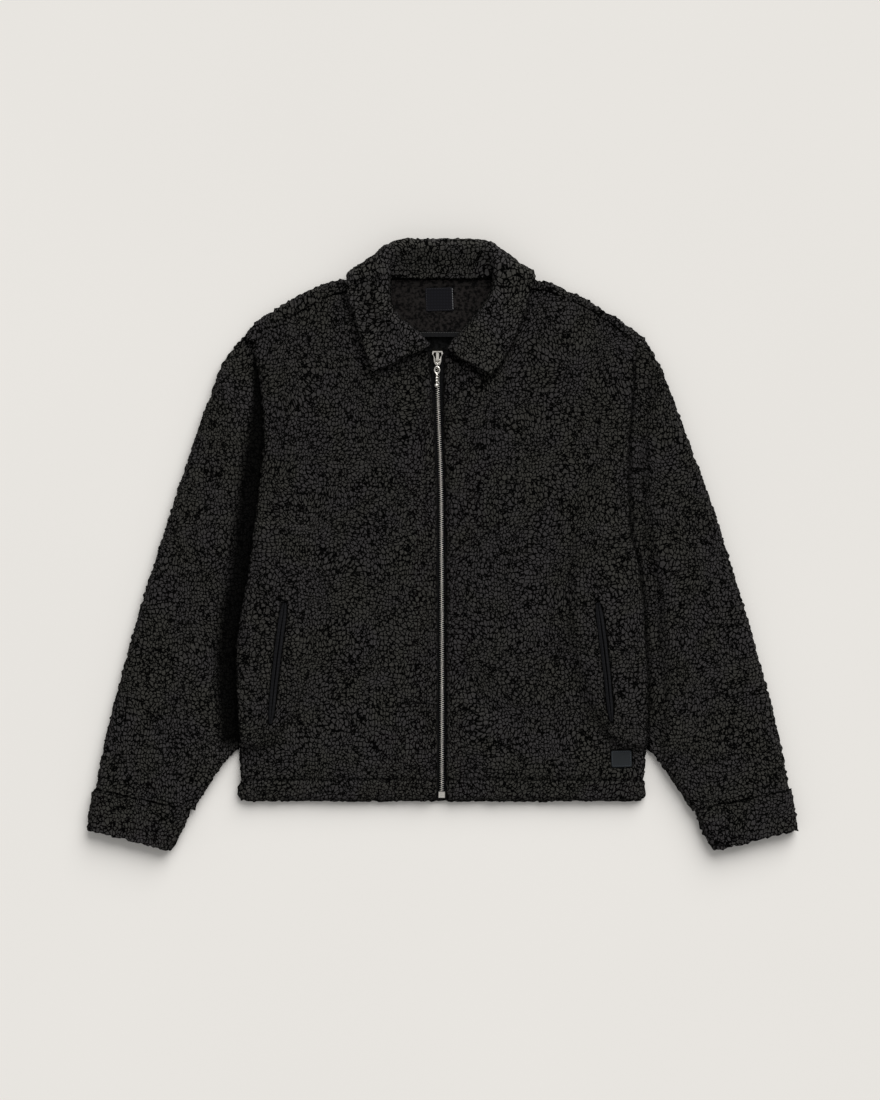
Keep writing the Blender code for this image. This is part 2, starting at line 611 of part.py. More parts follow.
def sleeve_thickness(side, x, y):
    """Both layers together: thin beside and under the body's edge, full further out and at the wrist."""
    ramp = 28.0 if side < 0 else 17.0
    away = smooth((np.abs(x) - body_side(side, y) - MARGIN_CLEAR) / ramp)
    wrist = smooth((-247 - y) / 45)
    return MARGIN_T + (SLEEVE_T - MARGIN_T) * np.maximum(away, wrist)


def sleeve(word, side):
    """A one-piece sleeve, from the armhole seam to the cuff, with its underarm margin under the body."""
    def line(table):
        rows = column(table, side)
        return np.stack([side * rows[:, 1], rows[:, 0]], axis=1)

    armhole = line(ARMHOLE) + (side * GAP, 0)
    underarm, outer = line(UNDERARM) + (side * GAP, 0), line(SLEEVE_OUT)
    outer[0] = armhole[-1]
    wrist = np.array([underarm[-1], outer[-1]])
    flat_tube(
        f"sleeve_{word}",
        lambda u: along(armhole, u), lambda u: along(wrist, u),
        lambda v: along(underarm, v), lambda v: along(outer, v),
        lambda x, y: sleeve_thickness(side, x, y), 17, {"inset": 0.05, "open": 2.6}, FLEECE,
    )


def cuff(word, side):
    """The band at the wrist, a little wider and thicker than the sleeve's end."""
    outer, mouth, inner = (column(t, side) for t in (CUFF_OUTER, CUFF_MOUTH, CUFF_INNER))
    top = np.array([inner[0], outer[0]])
    flat_tube(
        f"cuff_{word}",
        lambda u: along(top, u), lambda u: along(mouth, u),
        lambda v: along(inner, v), lambda v: along(outer, v),
        lambda x, y: np.full_like(x, CUFF_T), 7, {"inset": 0.07, "open": 2.8}, FLEECE,
    )


def collar_net():
    """Control points of the collar wall's middle: a row for each station round the neck, eight in each."""
    sides = {}
    for side in SIDES.values():
        rows = []
        for ax, ay, roll, ex, ey in WINGS[side]:
            inner, outer = np.array([ax, ay]), np.array([ex, ey])
            wide = np.linalg.norm(outer - inner)
            way = (outer - inner) / wide
            foot, lie = WING_FOOT_Z, WING_LIE_Z
            if len(rows) < len(WING_FOOT_LIFT):
                foot += WING_FOOT_LIFT[len(rows)]
            # Distance from the neck's edge, height.
            spots = ((4.4, foot), (4.5, (foot + roll) / 2), (7.0, roll - 2.0), (12.5, roll),
                     (21.0, roll - 1.6), (wide * 0.5, (roll + lie) / 2 - 0.6), (wide * 0.78, lie + 0.6),
                     (wide, lie))
            rows.append([(*(inner + way * far), z) for far, z in spots])
        turn = TURN.copy()
        turn[..., 0] *= 1 if side < 0 else -TURN_SHRINK
        sides[side] = np.concatenate([np.array(rows), turn])
    return np.concatenate([sides[-1], BACK_COLLAR[None], sides[1][::-1]])


def through(net, shares):
    """A smooth surface through the net's rows: cubic pieces between them, read at shares of the row count."""
    slope = np.gradient(net, axis=0)
    where = shares * (len(net) - 1)
    i = np.clip(where.astype(int), 0, len(net) - 2)
    t = (where - i).reshape(-1, *[1] * (net.ndim - 1))
    start = (1 + 2 * t) * (1 - t) ** 2 * net[i] + t * (1 - t) ** 2 * slope[i]
    return start + t * t * (3 - 2 * t) * net[i + 1] + t * t * (t - 1) * slope[i + 1]


def collar():
    """One wall from the neck seam up the stand, over the roll and out to the points or under the back."""
    round_neck = np.concatenate([[0, 0.006, 0.016], np.linspace(0.04, 0.96, 29), [0.984, 0.994, 1]])
    section = np.concatenate([np.linspace(0, 0.9, 13), [0.94, 0.975, 1]])
    middle = through(through(collar_net(), round_neck).transpose(1, 0, 2), section).transpose(1, 0, 2)
    along_neck, along_section = np.gradient(middle, axis=0), np.gradient(middle, axis=1)
    normal = np.cross(along_section, along_neck)
    normal /= np.linalg.norm(normal, axis=2, keepdims=True)
    _, edge_d = border_distances(middle)[2:]
    end_d = np.minimum(*border_distances(middle)[:2])
    squeezed = smooth((12 - middle[..., 2]) / 8) * smooth((middle[..., 1] - 290) / 10)
    half = (COLLAR_T - (COLLAR_T - FALL_T) * squeezed) / 2
    half = half * (RIM + (1 - RIM) * np.minimum(rounded(edge_d, 5), rounded(end_d, 4)))
    return wall("collar", middle + normal * half[..., None], middle - normal * half[..., None], FLEECE)


def neck_pieces():
    """The facing inside the back neck, the tape over the neck seam, the facing's binding and the label."""
    limb = {s: np.array([(ay, ax) for ax, ay, *_ in WINGS[s]] + [(336.0, WINGS[s][-1][0])]) for s in WINGS}

    def strip(name, ends, rows, thick, material, clear=0.6):
        y = np.linspace(*ends, rows)
        a, b = reading(limb[-1], y) + clear, reading(limb[1], y) - clear
        plan = np.stack([np.stack([a + (b - a) * t, y], axis=1) for t in np.linspace(0, 1, 5)], axis=1)
        low = np.full(plan.shape[:2], FACING_Z)
        wall(name, at_heights(plan, low + thick), at_heights(plan, low), material)

    strip("neck_facing", FACING_Y, 9, FACING_T, KNIT)
    strip("neck_tape", NECK_TAPE_Y, 3, FACING_T + 0.6, KNIT, clear=1.4)
    strip("facing_binding", BINDING_Y, 3, FACING_T + 0.5, WELT)
    top = FACING_Z + FACING_T + GAP
    slab("neck_label", LABEL["x"], LABEL["y"], LABEL["wide"], LABEL["high"], LABEL["tilt"],
         (top, top + LABEL["thick"]), 0.8, SATIN)


def zip_parts():
    """Tapes, rows of teeth, bottom box, top stops and the slider."""
    def strip(name, ends, rows, across, z, material):
        y = np.linspace(*ends, rows)
        plan = np.stack([np.stack([zip_middle(y) + a, y], axis=1) for a in sorted(across)], axis=1)
        lower, upper = (at_heights(plan, np.full(plan.shape[:2], height)) for height in z)
        wall(name, upper, lower, material)

    for word, side in SIDES.items():
        strip(f"zip_tape_{word}", TAPE_Y, 15, (side * GAP / 2, side * TAPE_HALF), TAPE_Z, TAPE)
        strip(f"zip_teeth_{word}", (BOX_Y[1] + GAP, TEETH_TOP_Y), 15, (side * GAP / 2, side * TEETH_HALF),
              TEETH_Z, METAL)
        strip(f"zip_stop_{word}", STOP_Y, 2, (side * STOP_X[0], side * STOP_X[1]), TEETH_Z, METAL)
    strip("zip_box", BOX_Y, 2, (-BOX_HALF, BOX_HALF), (TEETH_Z[0], TEETH_Z[1] + 0.8), METAL)


def outline_plate(name, rows, grow, heights, material):
    """A plate with the slider's outline, grown by some millimetres."""
    y, half = np.array(rows).T
    middle = y.mean()
    plan = np.stack([np.concatenate([half + grow, -(half + grow)[::-1]]) + SLIDER_X,
                     np.concatenate([y, y[::-1]])], axis=1)
    plan[:, 1] += np.sign(plan[:, 1] - middle) * grow
    count = len(plan)
    points = np.concatenate([at_heights(plan, np.full(count, float(h))) for h in heights])
    sides = [[i, (i + 1) % count, (i + 1) % count + count, i + count] for i in range(count)]
    return solid(name, points, sides + [list(range(count))[::-1], list(range(count, 2 * count))], material)


def slider():
    """A plate with a raised rim, and a bridge whose lower end curls round the pull's pivot bar."""
    body = outline_plate("zip_slider", SLIDER_OUTLINE, 0.0, SLIDER_Z, METAL)
    recess = (SLIDER_Z[1] - SLIDER_RECESS, SLIDER_Z[1] + 4)
    cut_from(body, outline_plate("slider_recess", SLIDER_OUTLINE, -SLIDER_RIM, recess, METAL))
    _, axis_y, axis_z = PULL_AXIS
    curl = np.radians(np.arange(190, 89, -20))
    base = SLIDER_Z[1] - SLIDER_RECESS - 0.7
    outer = [(axis_y + BRIDGE_R * np.cos(a), axis_z + BRIDGE_R * np.sin(a)) for a in curl]
    inner = [(axis_y + BRIDGE_INNER_R * np.cos(a), axis_z + BRIDGE_INNER_R * np.sin(a)) for a in curl[::-1]]
    foot, end = BRIDGE_Y
    profile = (
        [(axis_y - BRIDGE_R, base)] + outer
        + [(end - 1.6, axis_z + BRIDGE_R), (end, axis_z + 1.6), (end, base), (foot, base)]
        + [(foot, axis_z + BRIDGE_INNER_R)] + inner + [(axis_y - BRIDGE_INNER_R, base)]
    )
    count = len(profile)
    points = [(SLIDER_X + x, y, z) for x in (-BRIDGE_HALF, BRIDGE_HALF) for y, z in profile]
    sides = [[i, (i + 1) % count, (i + 1) % count + count, i + count] for i in range(count)]
    caps = [list(range(count))[::-1], list(range(count, 2 * count))]
    unite(body, solid("bridge", points, sides + caps, METAL))
    return body


def ring(name, loop, radius, sides, parent):
    """A closed loop of wire lying flat: a circle of points carried along the loop."""
    way = np.roll(loop, -1, axis=0) - np.roll(loop, 1, axis=0)
    way /= np.linalg.norm(way, axis=1, keepdims=True)
    outward = np.stack([way[:, 1], -way[:, 0], np.zeros(len(loop))], axis=1)
    turn = np.linspace(0, 2 * np.pi, sides, endpoint=False)
    points = loop[:, None] + radius * (np.cos(turn)[None, :, None] * outward[:, None]
                                       + np.sin(turn)[None, :, None] * np.array([0, 0, 1]))
    rows = len(loop)
    faces = [[i * sides + j, (i + 1) % rows * sides + j, (i + 1) % rows * sides + (j + 1) % sides,
              i * sides + (j + 1) % sides] for i in range(rows) for j in range(sides)]
    return solid(name, points.reshape(-1, 3), faces, METAL, parent)


def bead(name, place, radii, parent, segments=10):
    """A ball or a squashed ball."""
    mesh = bmesh.new()
    bmesh.ops.create_uvsphere(mesh, u_segments=segments, v_segments=segments // 2, radius=1.0)
    points = np.array([v.co[:] for v in mesh.verts]) * radii + place
    faces = [[v.index for v in face.verts] for face in mesh.faces]
    mesh.free()
    return solid(name, points, faces, METAL, parent)


def oval(x, y, half_x, half_y, z, count):
    turn = np.linspace(0, 2 * np.pi, count, endpoint=False)
    return np.stack([x + half_x * np.cos(turn), y + half_y * np.sin(turn), np.full(count, z)], axis=1)


def pull():
    """The pull: an eye round the bridge, a knob, an oval ring and a string of beads, turning on one bar."""
    x, y, z = PULL_AXIS
    hinge = bpy.data.objects.new("pull_hinge", None)
    hinge.location = [value * MM for value in PULL_AXIS]
    bpy.context.collection.objects.link(hinge)
    wide, long, corner = EYE_HALF, EYE_LONG, EYE_CORNER
    eye = np.array([
        (-wide, -corner), (-wide, corner - long), (corner - wide, -long), (wide - corner, -long),
        (wide, corner - long), (wide, -corner), (wide - corner, 0), (corner - wide, 0),
    ]) + (x, y)
    loop = oval(x - 0.6, RING["y"], RING["half_x"], RING["half_y"], z, 20)
    body = ring("pull_ring", loop, RING["wire"], 8, hinge)
    unite(body, ring("eye", at_heights(eye, np.full(len(eye), z)), WIRE_R, 8, hinge))
    for name, left, bead_y, across, lengthways in BEADS:
        flat = min(across, BEAD_HALF_Z)
        unite(body, bead(name, (x - left, bead_y, z), (across, lengthways, flat), hinge))


def patch_piece():
    """The small patch sewn at the hem, bare."""
    floor = patch_floor() + GAP
    slab("patch", PATCH["x"], PATCH["y"], PATCH["wide"], PATCH["high"], PATCH["tilt"],
         (floor, floor + PATCH["thick"]), PLATE_CORNER)


for old in list(bpy.data.objects):
    bpy.data.objects.remove(old)

FLEECE = finish("black high pile fleece", (0.012, 0.0118, 0.0115), 0.95)
KNIT = finish("black brushed knit", (0.0085, 0.0082, 0.0085), 0.9)
WELT = finish("black smooth cloth", (0.006, 0.006, 0.007), 0.7)
SATIN = finish("black satin", (0.0075, 0.0075, 0.01), 0.45)
PATCH_CLOTH = finish("dark rubbery patch", (0.026, 0.03, 0.035), 0.55)
TAPE = finish("black zip tape", (0.008, 0.008, 0.009), 0.8)
METAL = finish("nickel zip metal", (0.42, 0.41, 0.39), 0.35, 1.0)

back()
for part_word, part_side in SIDES.items():
    front(part_word, part_side)
    welts(part_word, part_side)
    sleeve(part_word, part_side)
    cuff(part_word, part_side)
collar()
neck_pieces()
zip_parts()
slider()
pull()
patch_piece()
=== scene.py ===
"""The looks of a high pile fleece jacket that lies flat on its back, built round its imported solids.

The front faces +Z, the collar points to +Y and the wearer's left is at +X. Shapes are worked out in
millimetres and mesh_object() turns them to metres. Each fleece piece is one skin with the form of its
solid, and its pile is raised from that skin as real clumps.
"""

import bpy
import numpy as np
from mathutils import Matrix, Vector


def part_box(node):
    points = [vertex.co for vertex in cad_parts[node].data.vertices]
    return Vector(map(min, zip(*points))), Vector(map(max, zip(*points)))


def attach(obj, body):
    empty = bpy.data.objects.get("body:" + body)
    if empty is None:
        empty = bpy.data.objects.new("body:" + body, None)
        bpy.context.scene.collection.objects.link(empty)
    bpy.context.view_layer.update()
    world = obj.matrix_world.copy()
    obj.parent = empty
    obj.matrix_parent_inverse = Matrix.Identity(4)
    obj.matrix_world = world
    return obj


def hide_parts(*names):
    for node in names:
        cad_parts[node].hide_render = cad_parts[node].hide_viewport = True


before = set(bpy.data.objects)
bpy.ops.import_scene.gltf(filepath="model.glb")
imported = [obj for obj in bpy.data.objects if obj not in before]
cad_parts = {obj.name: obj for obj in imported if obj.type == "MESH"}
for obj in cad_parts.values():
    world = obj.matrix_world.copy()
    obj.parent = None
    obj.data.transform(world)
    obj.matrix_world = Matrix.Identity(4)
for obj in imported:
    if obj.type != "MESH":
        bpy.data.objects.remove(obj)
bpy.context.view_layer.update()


# -------------------------------------------------------------------------------------------------------
# The back panel: polyester knit with a deep brushed pile, cut with the yoke's strip that wraps forward over
# each shoulder to the front seam. It lies on the ground, climbs on to the sleeves' margins and on to the
# collar's fall, and its hem is turned up. The inner face is the smooth back of the knit, painted darker as
# the shade inside the neck.

MM = 0.001
SIDES = {"right": -1, "left": 1}
BACK_T, PRESSED_T = 6.2, 5.2  # the back's wall, and the same where it lies on a sleeve's margin
MARGIN_T, SEAM_CLEAR, FOLD_R, COLLAR_LIFT = 9.0, 1.3, 8.0, 5.2
MARGIN_RAMP, MARGIN_CLEAR, MARGIN_END_Y, MARGIN_FADE = 20.0, 14.0, -259.0, 16.0
ARMPIT_Y, NECK_Y, SHOULDER_Y = 10.0, 331.0, 252.0
HEM_Y, HEM_DROP, HEM_STITCH_Y, HEM_NIP = -313.0, 7.9, -294.0, 2.6

# Half-widths at a height: y, at -X, at +X.
BODY_SIDE = np.array([
    (-313, 257, 255), (-294, 254, 253), (-244, 254, 255), (-180, 257, 257), (-120, 257, 254),
    (-75, 250, 251), (-25, 241, 245), (10, 237, 236), (60, 231, 233), (119, 225, 233),
    (206, 229, 240), (250, 238, 244),
])
ARMHOLE = np.array([
    (ARMPIT_Y, 203, 203), (60, 213, 217), (119, 219, 227), (206, 221, 232), (245, 234, 240.5),
    (254, 241, 247.8), (259, 248.8, 252.2),
])
UNDERARM = np.array([
    (ARMPIT_Y, 203, 203), (-60, 196, 196), (-130, 200, 200), (-180, 212, 212), (-225, 235, 234),
    (-257, 259, 260), (-269, 270, 270), (-294, 288, 287), (-319, 304, 304), (-331.7, 311, 311),
])
# Lines seen from above: x at -X, y, x at +X, y.
SHOULDER = np.array([
    (248, 260, 251, 260), (231, 281, 222, 281), (212, 293, 202, 293), (191, 306, 181, 306),
    (167, 318, 156, 318), (138, 330, 128, 330), (122, 331.5, 114, 331.5), (100, 332, 96, 332),
    (76, 336, 74, 336),
])
SHOULDER_SEAM = np.array([
    (236, 251, 243, 249), (209, 272, 209, 278), (178, 291, 166, 303), (147, 308, 130, 315.5),
    (125, 313.5, 113, 318), (80, 317.5, 79, 318.5),
])


def smooth(share):
    """0 below 0, 1 above 1, and an S curve between them."""
    share = np.clip(share, 0, 1)
    return share * share * (3 - 2 * share)


def rounded(distance, radius):
    """The height of a quarter circle: 0 at its start, 1 from radius on."""
    return np.sqrt(1 - (1 - np.clip(distance / radius, 0, 1)) ** 2)


def run_along(line):
    """Each point's distance along a line of points."""
    return np.concatenate([[0], np.cumsum(np.linalg.norm(np.diff(line, axis=0), axis=1))])


def cubic(rows, slope, i, t, width=1.0):
    """The point t of the way from row i to the next, on a cubic piece with the slopes at its two ends."""
    start = (1 + 2 * t) * (1 - t) ** 2 * rows[i] + t * (1 - t) ** 2 * width * slope[i]
    return start + t * t * (3 - 2 * t) * rows[i + 1] + t * t * (t - 1) * width * slope[i + 1]


def along(rows, shares):
    """Points at shares of the way along a smooth curve through the rows, which has averaged slopes."""
    rows, shares = np.asarray(rows, float), np.asarray(shares, float)
    knots = run_along(rows)
    where = shares * knots[-1]
    i = np.clip(np.searchsorted(knots, where, side="right") - 1, 0, len(rows) - 2)
    width = (knots[i + 1] - knots[i])[..., None]
    return cubic(rows, np.gradient(rows, knots, axis=0), i, (where - knots[i])[..., None] / width, width)


def column(table, side):
    """One side's two columns of a table: height and half-width, or x and y."""
    if table.shape[1] == 3:
        return table[:, [0, 1 if side < 0 else 2]].astype(float)
    return table[:, [0, 1] if side < 0 else [2, 3]] * [side, 1.0]


def reading(table, y):
    """The second column at height y, on a smooth curve through a table of two columns."""
    dense = along(table, np.linspace(0, 1, 300))
    order = np.argsort(dense[:, 0])
    return np.interp(y, dense[order, 0], dense[order, 1])


def body_side(side, y):
    """The body's half-width, nipped in at the hem's stitching."""
    return reading(column(BODY_SIDE, side), y) - HEM_NIP * np.exp(-(((y - HEM_STITCH_Y - 1) / 4.0) ** 2))


def over_sleeve(side, x, y, early=0.0):
    """0 clear of the sleeve's inner margin, 1 over it."""
    upper, lower = column(ARMHOLE, side), column(UNDERARM, side)
    inner = np.where(np.asarray(y) > ARMPIT_Y, reading(upper, y), reading(lower, y))
    beyond = np.abs(x) - inner + MARGIN_RAMP + MARGIN_CLEAR + early
    return smooth(beyond / MARGIN_RAMP) * smooth((y - MARGIN_END_Y + early / 4) / MARGIN_FADE)


def below_armpit(y):
    """0 above the armpit, 1 below it, where the sleeve's margin lies between the back and the front."""
    return smooth((ARMPIT_Y + 20 - y) / 12)


def over_fall(x, y, early=0.0):
    """1 where the collar's fall lies under the back, 0 away from it."""
    return smooth((y - 260 + early) / 20) * smooth((150 + early - np.abs(x)) / 25)


def back_heights(x, y):
    """The back's underside and inner face: flat, raised over the sleeves' margins and the collar's fall."""
    margin = np.where(x < 0, over_sleeve(-1, x, y), over_sleeve(1, x, y)) * below_armpit(y)
    fall = over_fall(x, y)
    low = (MARGIN_T + SEAM_CLEAR) * margin + COLLAR_LIFT * fall
    return low, low + BACK_T - (BACK_T - PRESSED_T) * margin - 0.5 * fall


def stretched(near, far, start, end, u, v):
    """A sheet between four edge lines: the mean of both pairs less the corners' share. u may vary by row."""
    u, v = np.asarray(u)[..., None], np.asarray(v)[None, :, None]
    u = u if u.ndim == 3 else u[:, None]
    near, far = (line if line.ndim == 3 else line[:, None] for line in (near, far))
    first, last = (1 - u) * start[0] + u * end[0], (1 - u) * start[-1] + u * end[-1]
    return (1 - v) * (near - first) + v * (far - last) + (1 - u) * start[None] + u * end[None]


def hem_line(first, last, drop):
    """A straight hem between two corners that are rounded off, drop millimetres below them."""
    way = np.sign(last[0] - first[0])
    offsets = ((0, 0), (3.5, 0.66), (11, 0.97), (32, 1))
    down = [(way * far, -drop * share) for far, share in offsets]
    up = [(-way * far, -drop * share) for far, share in offsets[::-1]]
    return np.concatenate([first + np.array(down), last + np.array(up)])


def at_heights(plan, heights):
    """Points seen from above, with their heights."""
    return np.concatenate([plan, np.asarray(heights)[..., None]], axis=-1)


def lipped(outer, inner, sides, steps=4):
    """The outer grid with two rows more at each edge, which turn round the cloth's edge on to its inside."""
    places = []
    for count, wanted in zip(outer.shape[:2], sides):
        turned = np.r_[steps, 0, np.arange(count), count - 1, count - 1 - steps]
        places.append(turned if wanted else np.arange(count))
    rows, columns = np.ix_(*places)
    edge_row, edge_column = (np.ones(len(place), bool) for place in places)
    for edge, wanted in ((edge_row, sides[0]), (edge_column, sides[1])):
        edge[2 * wanted:len(edge) - 2 * wanted] = False
    turned = (edge_row[:, None] | edge_column[None])[..., None]
    return np.where(turned, inner[rows, columns], outer[rows, columns]), turned[..., 0]


NEAR_CORNERS = [(i, j, k) for i in (0, 1) for j in (0, 1) for k in (0, 1)]
NEIGHBOURS = [(i, j, k) for i in (-1, 0, 1) for j in (-1, 0, 1) for k in (-1, 0, 1)]


def scatter(cell, seed):
    """Three fixed random numbers from 0 to 1 for each cell of space: a hash of its three whole numbers."""
    n = (cell @ np.array([374761393, 668265263, 2147483647]) + seed * 974711) & 0xFFFFFFFF
    n = ((n ^ (n >> 13)) * 1274126177) & 0xFFFFFFFF
    n ^= n >> 16
    m = ((n ^ (n >> 11)) * 2246822519) & 0xFFFFFFFF
    m ^= m >> 15
    o = ((m ^ (m >> 12)) * 3266489917) & 0xFFFFFFFF
    return np.stack([n, m, o ^ (o >> 14)], axis=-1) / 0xFFFFFFFF


def drift(place, size, seed):
    """Three soft noises from 0 to 1 with features of a size: corners' random values, eased over each cell."""
    cell = np.floor(place / size).astype(np.int64)
    ease = smooth(place / size - cell)
    total = 0.0
    for corner in NEAR_CORNERS:
        weight = np.prod(np.where(corner, ease, 1 - ease), axis=-1, keepdims=True)
        total = total + weight * scatter(cell + corner, seed)
    return total


def cells(place, size, seed):
    """How far each point is from the nearest and the next of the scattered clump centres, in cells."""
    cell = np.floor(place / size).astype(np.int64)
    first, second = np.full(place.shape[:-1], 9.0), np.full(place.shape[:-1], 9.0)
    for step in NEIGHBOURS:
        far = np.linalg.norm(cell + step + scatter(cell + step, seed) - place / size, axis=-1)
        second = np.minimum(second, np.maximum(first, far))
        first = np.minimum(first, far)
    return first, second


CLUMP, PILE_DEPTH = 6.0, 1.7
# The pile attribute carries painted shade: HOLLOW is how light it leaves the hollows, LIP_PILE the turned-in
# edge.
HOLLOW, LIP_PILE = 0.5, 0.2  # how light the hollows between the clumps stay, and the turned-in edge
# How the tufts lean: the size of a tuft, then its reach along x, y and z.
TUFT_LEAN = np.array([3.8, 3.8, 3.8, 0.8])


def clumps(place, size, seed):
    """Pile height from 0 in the hollows to 1: rounded cells of tangled curls, unevenly bent by soft noise.

    The cells fill space and the cloth cuts through them, so that they keep their size round every fold. Each
    is a dome that falls off towards the border with its neighbour. The finer curls are the material's.
    """
    bent = place + size * 1.1 * (drift(place, size * 1.4, seed + 1) - 0.5)
    near, further = cells(bent, size, seed)
    crevice = smooth((further - near) / 0.45)
    dome = 1 - 0.5 * smooth(near / 0.9)
    curls = drift(place, size * 0.45, seed + 2)[..., 0]
    return np.clip((0.35 + 0.65 * crevice) * dome + 0.35 * (curls - 0.4), 0, 1)


def normals(grid, ring=False):
    """The unit normals of a grid, across its rows and columns. ring joins the last row to the first."""
    down = (np.roll(grid, -1, axis=0) - np.roll(grid, 1, axis=0)) if ring else np.gradient(grid, axis=0)
    normal = np.cross(down, np.gradient(grid, axis=1))
    return normal / np.maximum(np.linalg.norm(normal, axis=2, keepdims=True), 1e-9)


def edge_distances(plan):
    """Each point's distance along the grid to its first and last row, and to its first and last column."""
    found = []
    for axis in (0, 1):
        run = np.cumsum(np.linalg.norm(np.diff(plan, axis=axis), axis=2), axis=axis)
        run = np.concatenate([np.zeros_like(np.take(run, [0], axis=axis)), run], axis=axis)
        found += [run, np.take(run, [-1], axis=axis) - run]
    return found


def surface(name, grid, material, facing=1, ring=False, keep=None, pile=None):
    """A mesh object from a grid in millimetres, less the faces that keep drops. facing -1 turns it over."""
    rows, columns = grid.shape[:2]
    i, j = np.meshgrid(np.arange(rows if ring else rows - 1), np.arange(columns - 1), indexing="ij")
    if keep is not None:
        i, j = i[keep], j[keep]
    k = (i + 1) % rows
    quads = np.stack([i * columns + j, k * columns + j, k * columns + j + 1, i * columns + j + 1], axis=-1)
    return mesh_object(name, grid.reshape(-1, 3), quads.reshape(-1, 4)[:, ::facing], material,
                       pile if pile is None else pile.reshape(-1))


def mesh_object(name, points, quads, material, pile=None):
    """One object at the origin from points in millimetres and faces of four. Loose points are dropped."""
    used, quads = np.unique(quads, return_inverse=True)
    quads = quads.reshape(-1, 4)
    mesh = bpy.data.meshes.new(name)
    mesh.vertices.add(len(used))
    mesh.vertices.foreach_set("co", (points[used] * MM).astype(np.float32).ravel())
    mesh.loops.add(quads.size)
    mesh.loops.foreach_set("vertex_index", quads.astype(np.int32).ravel())
    mesh.polygons.add(len(quads))
    mesh.polygons.foreach_set("loop_start", np.arange(0, quads.size, 4, dtype=np.int32))
    mesh.polygons.foreach_set("loop_total", np.full(len(quads), 4, dtype=np.int32))
    mesh.update(calc_edges=True)
    mesh.validate()
    mesh.shade_smooth()
    if pile is not None:
        mesh.attributes.new("pile", "FLOAT", "POINT").data.foreach_set("value", pile[used].astype(np.float32))
    mesh.materials.append(material)
    made = bpy.data.objects.new(name, mesh)
    bpy.context.collection.objects.link(made)
    return made


def fasten(piece, slot, *nodes):
    """Fixes a piece to the jacket and stands for the solids it is given, which it hides. The slot is not
    used.
    """
    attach(piece, "jacket")
    if nodes:
        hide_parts(*nodes)
    return piece


def colour(code):
    """An sRGB hex colour as linear red, green and blue, and 1."""
    part = np.array([int(code[i:i + 2], 16) for i in (1, 3, 5)]) / 255
    return (*np.where(part <= 0.04045, part / 12.92, ((part + 0.055) / 1.055) ** 2.4), 1.0)


def add(tree, kind, inputs, out=0, **settings):
    """Adds one shader node with its settings, plain values and links, and gives one of its outputs."""
    made = tree.nodes.new("ShaderNode" + kind)
    for key, value in settings.items():
        setattr(made, key, value)
    for key, value in inputs.items():
        if isinstance(value, bpy.types.NodeSocket):
            tree.links.new(value, made.inputs[key])
        else:
            made.inputs[key].default_value = value
    return made.outputs[out] if len(made.outputs) else None


def new_material(name):
    """An empty material, its nodes and its Object coordinates."""
    material = bpy.data.materials.new(name)
    material.use_nodes = True
    material.node_tree.nodes.clear()
    return material, material.node_tree, add(material.node_tree, "TexCoord", {}, out="Object")


def bent_place(tree, place, scale, amount):
    """Coordinates moved by soft noise of a scale per metre, by up to about a quarter of amount metres."""
    noise = add(tree, "TexNoise", {"Vector": place, "Scale": scale, "Detail": 1.0}, out="Color")
    shift = add(tree, "VectorMath", {0: noise, 1: (0.5, 0.5, 0.5)}, operation="SUBTRACT")
    shift = add(tree, "VectorMath", {0: shift, 3: amount}, operation="SCALE")
    return add(tree, "VectorMath", {0: place, 1: shift}, operation="ADD")


